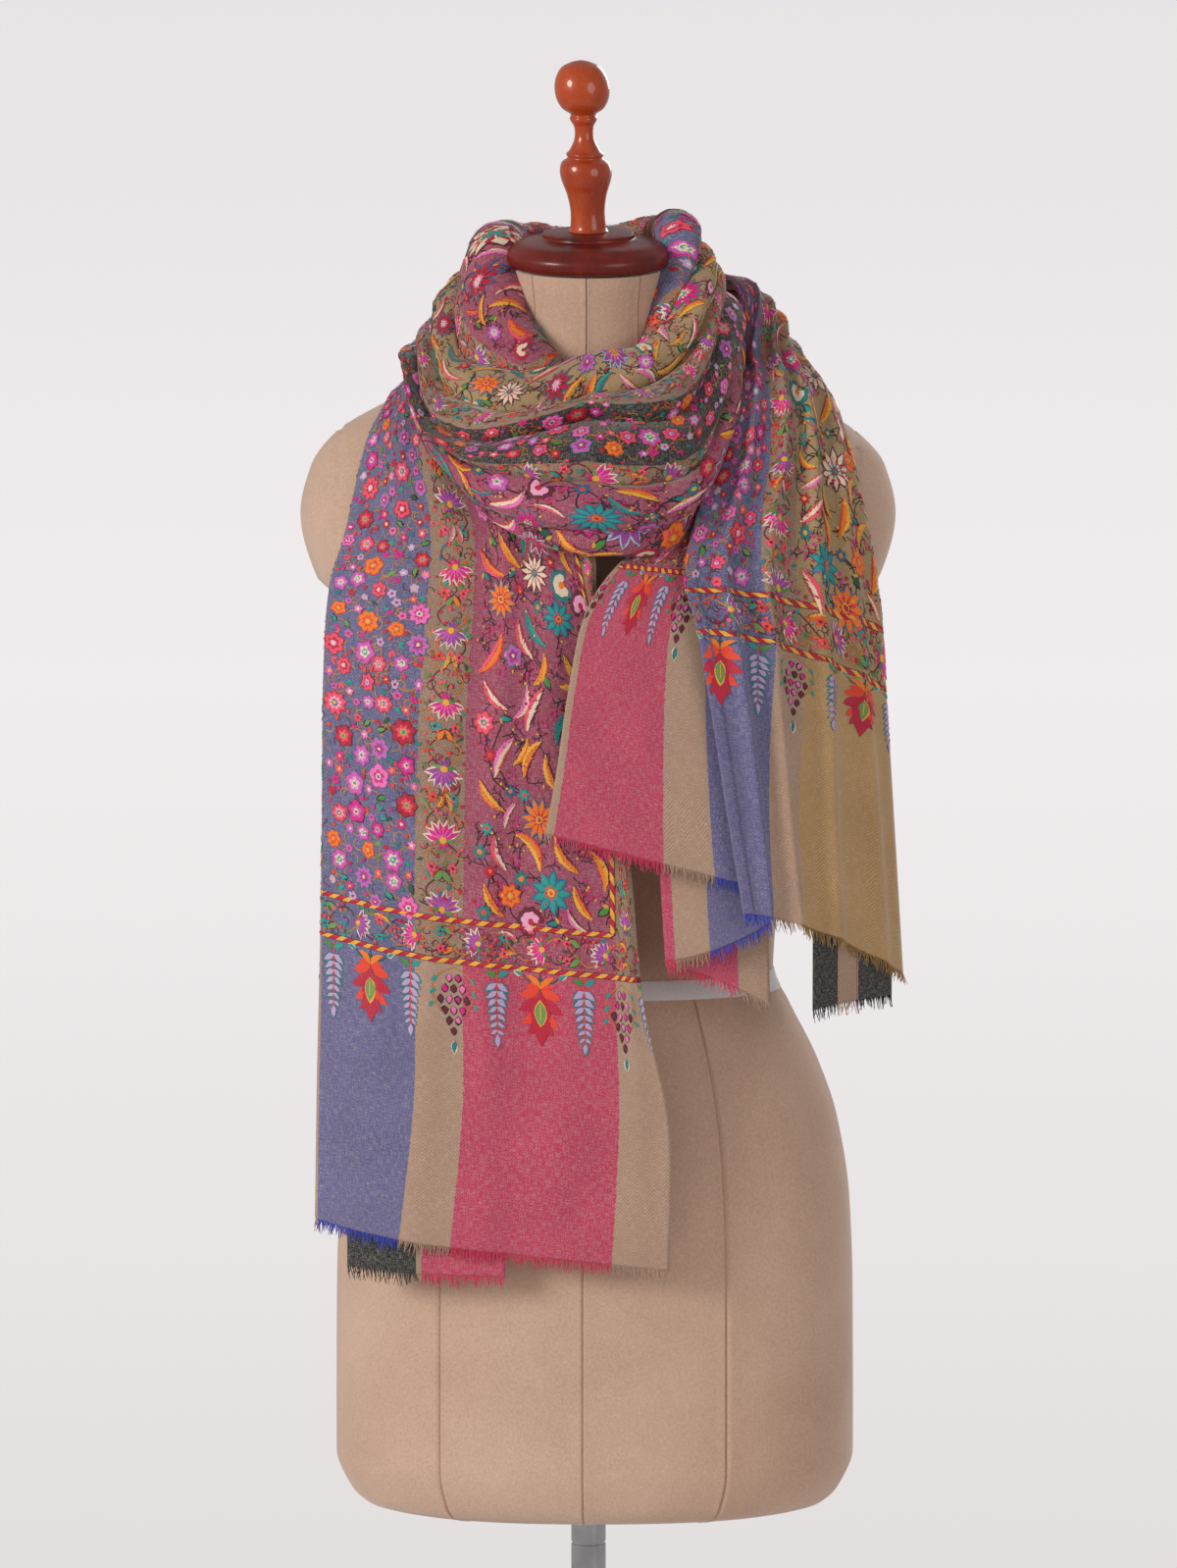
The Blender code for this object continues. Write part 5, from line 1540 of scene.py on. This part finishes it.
def rope(store, path):
    # crimson and gold strands laid slantwise in turn
    path = np.asarray(path, float)
    run = np.concatenate([[0], np.cumsum(np.linalg.norm(np.diff(path, axis=0), axis=1))])
    pitch, half = ropeSetup["pitch"], ropeSetup["width"] / 2
    ribbon(store, path, ropeSetup["width"] * 1.25, "maroon")
    count = int(run[-1] / (pitch / 2))
    faces = np.array([(0, 1, 4, 3), (1, 2, 5, 4)])
    for n in range(count):
        a, b = n * pitch / 2, (n + 0.93) * pitch / 2
        spots = []
        for place in (a, b):
            for off, skew, up in ((-half, -0.0022, 0), (0, 0, 1.6), (half, 0.0022, 0)):
                behind, at, ahead = (
                    np.array([np.interp(place + skew + step, run, path[:, axis]) for axis in (0, 1)])
                    for step in (-0.002, 0.0, 0.002))
                along = (ahead - behind) / max(np.linalg.norm(ahead - behind), 1e-9)
                spots.append((at[0] + along[1] * off, at[1] - along[0] * off, up))
        colour = "crimson" if n % 2 else "gold"
        put(store, 0, 0, 0, 1.0, (np.array(spots), faces), colour, "petal", ragged=0.00012)


def pendant(store, rng, u, v):
    # a serrated bud that hangs point down, with an orange bow above it
    down = -pi / 2
    for k in (-1, 1):
        for reach, size, colour in ((0.35, 0.0125, "orange"), (0.95, 0.0100, "redOrange")):
            leafTurn = pi / 2 + k * (reach + 0.55)
            put(store, u, v - 0.010, leafTurn, size, leafShape(0.36, 3, 0.12 * -k), colour, "petal")
        ribbon(store, bow((u, v - 0.003), (u + k * 0.012, v - 0.002), -0.3 * k, 6), 0.0009, "darkGreen")
        leaf(store, rng, u + k * 0.012, v - 0.002, pi / 2 - k * 1.2, 0.006, "turquoise", "cream")
    ribbon(store, np.array([(u, v), (u, v - 0.013)]), 0.0010, "darkGreen")
    top = v - 0.012
    for n, (along, size) in enumerate(((0.003, 0.0145), (0.009, 0.0165), (0.016, 0.0150), (0.022, 0.0120))):
        for k in (-1, 1):
            put(store, u, top - along + 0.004, down + k * (1.25 - 0.16 * n), size, leafShape(0.46, 3),
                "crimson" if n % 2 else "redOrange", "outline", 0.00004 * n)
    put(store, u, top, down, 0.034, leafShape(0.42, 4), "crimson", "petal", 0.0001)
    put(store, u, top - 0.005, down, 0.0175, leafShape(0.50, 4), "gold", "inner", 0.0001)
    put(store, u, top - 0.006, down, 0.0150, leafShape(0.46, 4), "leafGreen", "heart", 0.0001)
    ribbon(store, np.array([(u, top - 0.008), (u, top - 0.017)]), 0.0007, "gold", "heart", over=0.0004)


def spray(store, rng, u, v, length=0.044):
    ribbon(store, np.array([(u, v), (u, v - length)]), 0.0008, "redOrange")
    for n in range(7):
        at = v - 0.008 - n * (length - 0.010) / 7
        size = 0.0088 * (1 - 0.07 * n)
        for k in (-1, 1):
            leaf(store, rng, u, at, -pi / 2 + k * 0.95, size, "lilac", "teal")
    leaf(store, rng, u, v - length + 0.004, -pi / 2, 0.008, "lilac", "teal")
    for k in (-1, 1):
        fanTurn = pi / 2 - k * 1.1
        colour = "green" if k > 0 else "turquoise"
        put(store, u, v - 0.004, fanTurn, 0.0085, leafShape(0.45), colour, "petal")


def lattice(store, rng, u, v):
    for row, count in enumerate((2, 3, 4, 3, 2, 1)):
        for n in range(count):
            a = u + (n - (count - 1) / 2) * 0.0058
            b = v - 0.006 - row * 0.0066
            colour = ("magenta", "pink", "maroon")[(row + n) % 3]
            put(store, a, b, -pi / 2, 0.0062, leafShape(0.78), "nearBlack", "outline")
            put(store, a, b - 0.0004, -pi / 2, 0.0050, leafShape(0.70), colour, "petal")
    for k in (-1, 1):
        ribbon(store, bow((u, v - 0.002), (u + k * 0.008, v - 0.030), 0.35 * k, 8), 0.0007, "vineGold")
        for row in (1, 2, 3):
            leaf(store, rng, u + k * (0.010 + 0.001 * row), v - 0.008 * row, -pi / 2 + k * 0.7, 0.0052,
                 "turquoise", None)
    leaf(store, rng, u, v - 0.048, -pi / 2, 0.0085, "teal", "cream")


def endRow(store, rng, low, high):
    # ropes, the band between them and the row of pendants under them
    s = ropeSetup
    for v in (s["low"], s["high"]):
        first = low if v == s["low"] else max(low, s["upright"])
        rope(store, [(a, v) for a in np.arange(first, high, 0.004)])
    border(store, rng, (low, s["low"] + 0.001), (high, s["high"] - 0.001), "u")
    step = s["repeat"] / 4
    for n in range(-4, 40):
        u = s["firstBud"] + n * step
        if low - 0.01 < u < high + 0.01:
            if n % 4 == 0:
                pendant(store, rng, u, s["low"] - 0.002)
            elif n % 2 == 0:
                lattice(store, rng, u, s["low"] - 0.002)
            else:
                spray(store, rng, u, s["low"] - 0.003)


def embroider(rng, low, high):
    # everything that is worked on the cloth between two corners of it
    store = newStore()
    start = 0.0
    field = max(low[1], ropeSetup["high"] + 0.003)
    for end, kind in stripeSetup:
        a, b = max(start, low[0]), min(end, high[0])
        if b - a > 0.004:
            inset = 0.0012
            if start == 0.0:
                a = max(a, 0.006)
            if kind == "beige":
                if end == stripeSetup[0][0]:
                    border(store, rng, (a, field), (end - 0.004, high[1]))
                else:
                    border(store, rng, (start, field), (end, high[1]))
            elif kind in ("pink", "mustard"):
                garden(store, rng, (a + inset, field), (min(b, end - 0.006), high[1]))
            else:
                meadow(store, rng, (a + inset, field), (b - inset, high[1]))
        start = end
    if low[1] < ropeSetup["low"]:
        endRow(store, rng, low[0], high[0])
    if low[0] < ropeSetup["upright"] and low[1] < 0.5:
        rope(store, [(ropeSetup["upright"], a) for a in np.arange(ropeSetup["high"], high[1], 0.004)])
    return store


def onCloth(stretch, u, v, lift):
    # places on the cloth to points in space; also says which places the stretch really has
    falling = -1.0 if stretch["v"][0] > stretch["v"][-1] else 1.0
    rows = np.interp(falling * v, falling * stretch["v"], np.arange(len(stretch["v"])))
    r0 = np.clip(rows.astype(int), 0, len(stretch["v"]) - 2)
    f = (rows - r0)[:, None]
    spots = np.zeros((len(u), 3))
    normals = np.zeros((len(u), 3))
    inside = (v >= stretch["v"].min()) & (v <= stretch["v"].max())
    points, outs, places = stretch["points"], stretch["normals"], stretch["u"]
    rising = places[0, -1] > places[0, 0]
    for r in np.unique(r0):
        pick = np.flatnonzero(r0 == r)
        for row, weight in ((r, 1 - f[pick]), (r + 1, f[pick])):
            line = places[row] if rising else places[row][::-1]
            where = np.interp(u[pick], line, np.arange(len(line)))
            if not rising:
                where = len(line) - 1 - where
            c0 = np.clip(where.astype(int), 0, len(line) - 2)
            g = (where - c0)[:, None]
            spots[pick] += weight * (points[row, c0] * (1 - g) + points[row, c0 + 1] * g)
            normals[pick] += weight * (outs[row, c0] * (1 - g) + outs[row, c0 + 1] * g)
            inside[pick] &= (u[pick] >= line[0]) & (u[pick] <= line[-1])
    normals /= np.maximum(np.linalg.norm(normals, axis=1, keepdims=True), 1e-9)
    return spots + normals * lift[:, None], inside


def makeEmbroidery(stretch, store, lift=0.0):
    flat = np.concatenate(store["points"])
    thread = np.concatenate(store["thread"])
    colours = np.concatenate(store["colours"])
    faces = np.concatenate(store["faces"])
    spots, inside = onCloth(stretch, flat[:, 0], flat[:, 1], flat[:, 2] + lift)
    corners = np.where(faces < 0, faces[:, 2:3], faces)
    keep = inside[corners].all(1)
    # what would be pinched in a valley of the cloth or torn across one is left out
    size = np.linalg.norm(spots[corners[:, 0]] - spots[corners[:, 2]], axis=1)
    wide = np.linalg.norm(spots[corners[:, 1]] - spots[corners[:, 3]], axis=1)
    flatSize = np.linalg.norm(flat[corners[:, 0], :2] - flat[corners[:, 2], :2], axis=1)
    flatWide = np.linalg.norm(flat[corners[:, 1], :2] - flat[corners[:, 3], :2], axis=1)
    keep &= (size < 3 * flatSize + 0.002) & (wide < 3 * flatWide + 0.002) & (size > 0.25 * flatSize)
    faces, middle = faces[keep], flat[corners[keep, 0], 1]
    # motifs are drawn in u and v, whose handedness on the surface differs from stretch to stretch
    flip = (stretch["side"] > 0) == (stretch["u"][0, -1] < stretch["u"][0, 0])
    cut = np.quantile(middle, 0.5) if len(faces) > 90000 else 9.0
    pieces = []
    for label, part in (("", faces[middle < cut]), ("_far", faces[middle >= cut])):
        if len(part):
            name = "embroidery_" + stretch["name"] + label
            pieces.append(stitchPiece(name, part, spots, colours, thread, flip))
    return pieces


def stitchPiece(name, faces, spots, colours, thread, flip):
    used = np.unique(faces[faces >= 0])
    again = np.full(len(spots), -1)
    again[used] = np.arange(len(used))
    rows = [[int(again[i]) for i in face if i >= 0] for face in faces]
    rows = [row[::-1] if flip else row for row in rows]
    mesh = bpy.data.meshes.new(name)
    mesh.from_pydata(spots[used].tolist(), [], rows)
    paint = mesh.color_attributes.new("Stitch", "FLOAT_COLOR", "POINT")
    opaque = np.concatenate([colours[used], np.ones((len(used), 1))], 1)
    paint.data.foreach_set("color", opaque.reshape(-1).astype(np.float32))
    layer = mesh.uv_layers.new(name="ThreadUV")
    index = np.zeros(len(mesh.loops), int)
    mesh.loops.foreach_get("vertex_index", index)
    layer.data.foreach_set("uv", thread[used][index].reshape(-1).astype(np.float32))
    mesh.calc_loop_triangles()
    print(name, len(mesh.loop_triangles), "triangles")
    return setIn(addPiece(name, mesh, stitchMaterial), "pashmina")


embroideryPieces = {}
for number, (stretch, low, high, lift) in enumerate((
        (leftTail, (0.0, 0.115), (0.300, 0.665), 0.0), (ridgePanel, (0.17, 0.115), (0.43, 0.535), 0.0),
        (underPanel, (0.0, 0.115), (0.200, 0.285), 0.0), (wrap, (0.03, 0.555), (0.64, 1.25), 0.0001))):
    work = embroider(np.random.default_rng(11 + number), low, high)
    embroideryPieces[stretch["name"]] = makeEmbroidery(stretch, work, lift)

# loose warp ends along each hem
fringeSetup = {
    "reach": 0.0085, "spacing": 0.00085, "thickness": 0.00042, "tilt": 0.28, "seed": 7, "curve": 0.0012,
}


def makeStrand():
    # one loose end along +Z, three-sided, a little bowed and thinner at its tip
    points, faces = [], []
    heights = (0.0, 0.33, 0.68, 1.0)
    for height in heights:
        thick = fringeSetup["thickness"] * (1 - 0.55 * height)
        off = fringeSetup["curve"] * height * height
        for n in range(3):
            a = tau * n / 3
            points.append((off + thick * cos(a), thick * sin(a), fringeSetup["reach"] * (height - 0.06)))
    for r in range(len(heights) - 1):
        for n in range(3):
            m = (n + 1) % 3
            faces.append((3 * r + n, 3 * r + m, 3 * r + 3 + m, 3 * r + 3 + n))
    faces += [(2, 1, 0), (9, 10, 11)]
    mesh = bpy.data.meshes.new("strand")
    mesh.from_pydata(points, [], faces)
    mesh.shade_smooth()
    strand = bpy.data.objects.new("strand", mesh)
    bpy.context.scene.collection.objects.link(strand)
    return strand


def makeFringeTree():
    tree = bpy.data.node_groups.new("hemFringe", "GeometryNodeTree")
    tree.interface.new_socket(name="Geometry", in_out="INPUT", socket_type="NodeSocketGeometry")
    sockets = (("Strand", "Object"), ("Spacing", "Float"), ("Tilt", "Float"), ("Seed", "Int"),
               ("Material", "Material"))
    for label, kind in sockets:
        tree.interface.new_socket(name=label, in_out="INPUT", socket_type="NodeSocket" + kind)
    tree.interface.new_socket(name="Geometry", in_out="OUTPUT", socket_type="NodeSocketGeometry")
    given, result = tree.nodes.new("NodeGroupInput"), tree.nodes.new("NodeGroupOutput")
    line = addNode(tree, "GeometryNodeMeshToCurve", {"Mesh": given.outputs["Geometry"]})
    even = addNode(tree, "GeometryNodeResampleCurve", {"Curve": line.outputs[0]}, mode="LENGTH")
    tree.links.new(given.outputs["Spacing"], even.inputs["Length"])
    spots = addNode(tree, "GeometryNodeCurveToPoints", {"Curve": even.outputs[0]}, mode="EVALUATED")
    down = addNode(tree, "GeometryNodeInputNamedAttribute", {"Name": "hangDown"}, data_type="FLOAT_VECTOR")
    facing = addNode(tree, "FunctionNodeAlignRotationToVector", {"Vector": down.outputs[0]}, axis="Z")
    lean = addNode(tree, "ShaderNodeCombineXYZ")
    fewer = mathOf(tree, "MULTIPLY", given.outputs["Tilt"], -1.0)
    for axis, extra in (("X", 0), ("Y", 1)):
        seed = addNode(tree, "ShaderNodeMath", {0: given.outputs["Seed"], 1: float(extra)},
                       operation="ADD").outputs[0]
        draw = addNode(tree, "FunctionNodeRandomValue", {2: fewer, 3: given.outputs["Tilt"], 8: seed},
                       data_type="FLOAT")
        tree.links.new(draw.outputs[1], lean.inputs[axis])
    spin = addNode(tree, "FunctionNodeRandomValue", {2: 0.0, 3: tau, 8: 40}, data_type="FLOAT")
    tree.links.new(spin.outputs[1], lean.inputs["Z"])
    tipped = addNode(tree, "FunctionNodeRotateRotation", {0: facing.outputs[0], 1: lean.outputs[0]},
                     rotation_space="LOCAL")
    length = addNode(tree, "FunctionNodeRandomValue", {2: 0.55, 3: 1.12, 8: 90}, data_type="FLOAT")
    size = addNode(tree, "ShaderNodeCombineXYZ", {"X": 1.0, "Y": 1.0, "Z": length.outputs[1]})
    source = addNode(tree, "GeometryNodeObjectInfo", {"Object": given.outputs["Strand"]})
    copies = addNode(tree, "GeometryNodeInstanceOnPoints", {
        "Points": spots.outputs[0], "Instance": source.outputs["Geometry"], "Rotation": tipped.outputs[0],
        "Scale": size.outputs[0]})
    real = addNode(tree, "GeometryNodeRealizeInstances", {0: copies.outputs[0]})
    painted = addNode(tree, "GeometryNodeSetMaterial",
                      {0: real.outputs[0], "Material": given.outputs["Material"]})
    tree.links.new(painted.outputs[0], result.inputs[0])
    return tree


strand = makeStrand()
fringeTree = makeFringeTree()


def makeFringe(stretch, *nodes):
    hem = stretch["points"][-1] - stretch["normals"][-1] * clothWall / 2
    down = stretch["points"][-1] - stretch["points"][-3]
    down /= np.linalg.norm(down, axis=1, keepdims=True)
    mesh = bpy.data.meshes.new("hemLine")
    mesh.from_pydata(hem.tolist(), [(n, n + 1) for n in range(len(hem) - 1)], [])
    hang = mesh.attributes.new("hangDown", "FLOAT_VECTOR", "POINT")
    hang.data.foreach_set("vector", down.reshape(-1).astype(np.float32))
    place = mesh.attributes.new("clothPlace", "FLOAT", "POINT")
    place.data.foreach_set("value", stretch["u"][-1].astype(np.float32))
    line = bpy.data.objects.new("hemLine", mesh)
    bpy.context.scene.collection.objects.link(line)
    grow = line.modifiers.new("Fringe", "NODES")
    grow.node_group = fringeTree
    values = {"Strand": strand, "Spacing": fringeSetup["spacing"], "Tilt": fringeSetup["tilt"],
              "Seed": fringeSetup["seed"], "Material": fringeMaterial}
    for item in fringeTree.interface.items_tree:
        if item.item_type == "SOCKET" and item.in_out == "INPUT" and item.name in values:
            grow[item.identifier] = values[item.name]
    evaluated = line.evaluated_get(bpy.context.evaluated_depsgraph_get())
    grown = bpy.data.meshes.new_from_object(evaluated)
    grown.name = "fringe_" + stretch["name"]
    line.modifiers.remove(grow)
    bpy.data.objects.remove(line, do_unlink=True)
    fringe = addPiece("fringe_ends_" + stretch["name"], grown, fringeMaterial)
    print("fringe on", stretch["name"], len(grown.polygons), "faces")
    return setIn(fringe, "fringe", *nodes)


fringePieces = {}
for stretch, node in ((leftTail, "fringe_left_tail"), (leftLower, "fringe_left_lower_layer"),
                      (ridgePanel, "fringe_right_ridge_panel"), (underPanel, "fringe_right_under_panel"),
                      (innerFront, "fringe_right_lower_front"), (innerBack, "fringe_right_lower_back"),
                      (outerLower, "fringe_right_lower_outer")):
    fringePieces[stretch["name"]] = [makeFringe(stretch, node)]
bpy.data.objects.remove(strand, do_unlink=True)

# what each stretch of cloth is: the size it was cut to and what it rests on
sheetSetup = {
    # flat width and length, area that shows where the rest is gathered out of sight, how it is held,
    # and what it rests on
    "left_tail": ((0.295, 0.66), None, "draped", ("form_body", "cloth_neck_wrap")),
    "left_lower": ((0.115, 0.165), None, "hung", ("cloth_left_tail",)),
    "right_ridge_panel": ((0.220, 0.53), None, "draped", ("form_body", "cloth_neck_wrap")),
    "right_lower_outer": ((0.070, 0.22), None, "hung", ("cloth_right_ridge_panel",)),
    "right_under_panel": ((0.166, 0.282), 0.030, "draped", ("form_body",)),
    "right_lower_front": ((0.110, 0.185), 0.0130, "hung", ("cloth_right_under_panel",)),
    "right_lower_back": ((0.100, 0.185), 0.0130, "hung", ("cloth_right_under_panel",)),
    "neck_wrap": ((0.57, 0.66), 0.118, "gathered", ("form_body",)),
}


def clothArea(stretch):
    p = stretch["points"]
    one, two = p[1:, 1:] - p[:-1, :-1], p[1:, :-1] - p[:-1, 1:]
    return float(np.linalg.norm(np.cross(one, two), axis=2).sum() / 2)


for stretch in (leftTail, leftLower, ridgePanel, outerLower, underPanel, innerFront, innerBack, wrap):
    name = stretch["name"]
    flat, area, held, restsOn = sheetSetup[name]
    ornaments = embroideryPieces.get(name, []) + fringePieces.get(name, [])
    print("sheet", name, "area", round(clothArea(stretch), 4), "of", round(area or flat[0] * flat[1], 4))
    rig.sheet(clothPieces[name], flat=flat, held=held, rests_on=list(restsOn), area=area,
             with_pieces=ornaments)


def makeFloor():
    shape = bmesh.new()
    bmesh.ops.create_circle(shape, cap_ends=True, segments=96, radius=roomSetup["floorRadius"])
    bmesh.ops.recalc_face_normals(shape, faces=shape.faces)
    mesh = bpy.data.meshes.new("studioFloor")
    shape.to_mesh(mesh)
    shape.free()
    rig.stage(addPiece("studio_floor", mesh, makeFloorMaterial()))


makeFloor()
seenLow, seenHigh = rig.bounds()
with open("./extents.json", "w") as sizes:
    json.dump({"cad": [list(cadLow), list(cadHigh)], "visual": [list(seenLow), list(seenHigh)]}, sizes)
print("sizes: CAD", [round(h - l, 4) for l, h in zip(cadLow, cadHigh)],
      "visual", [round(h - l, 4) for l, h in zip(seenLow, seenHigh)])
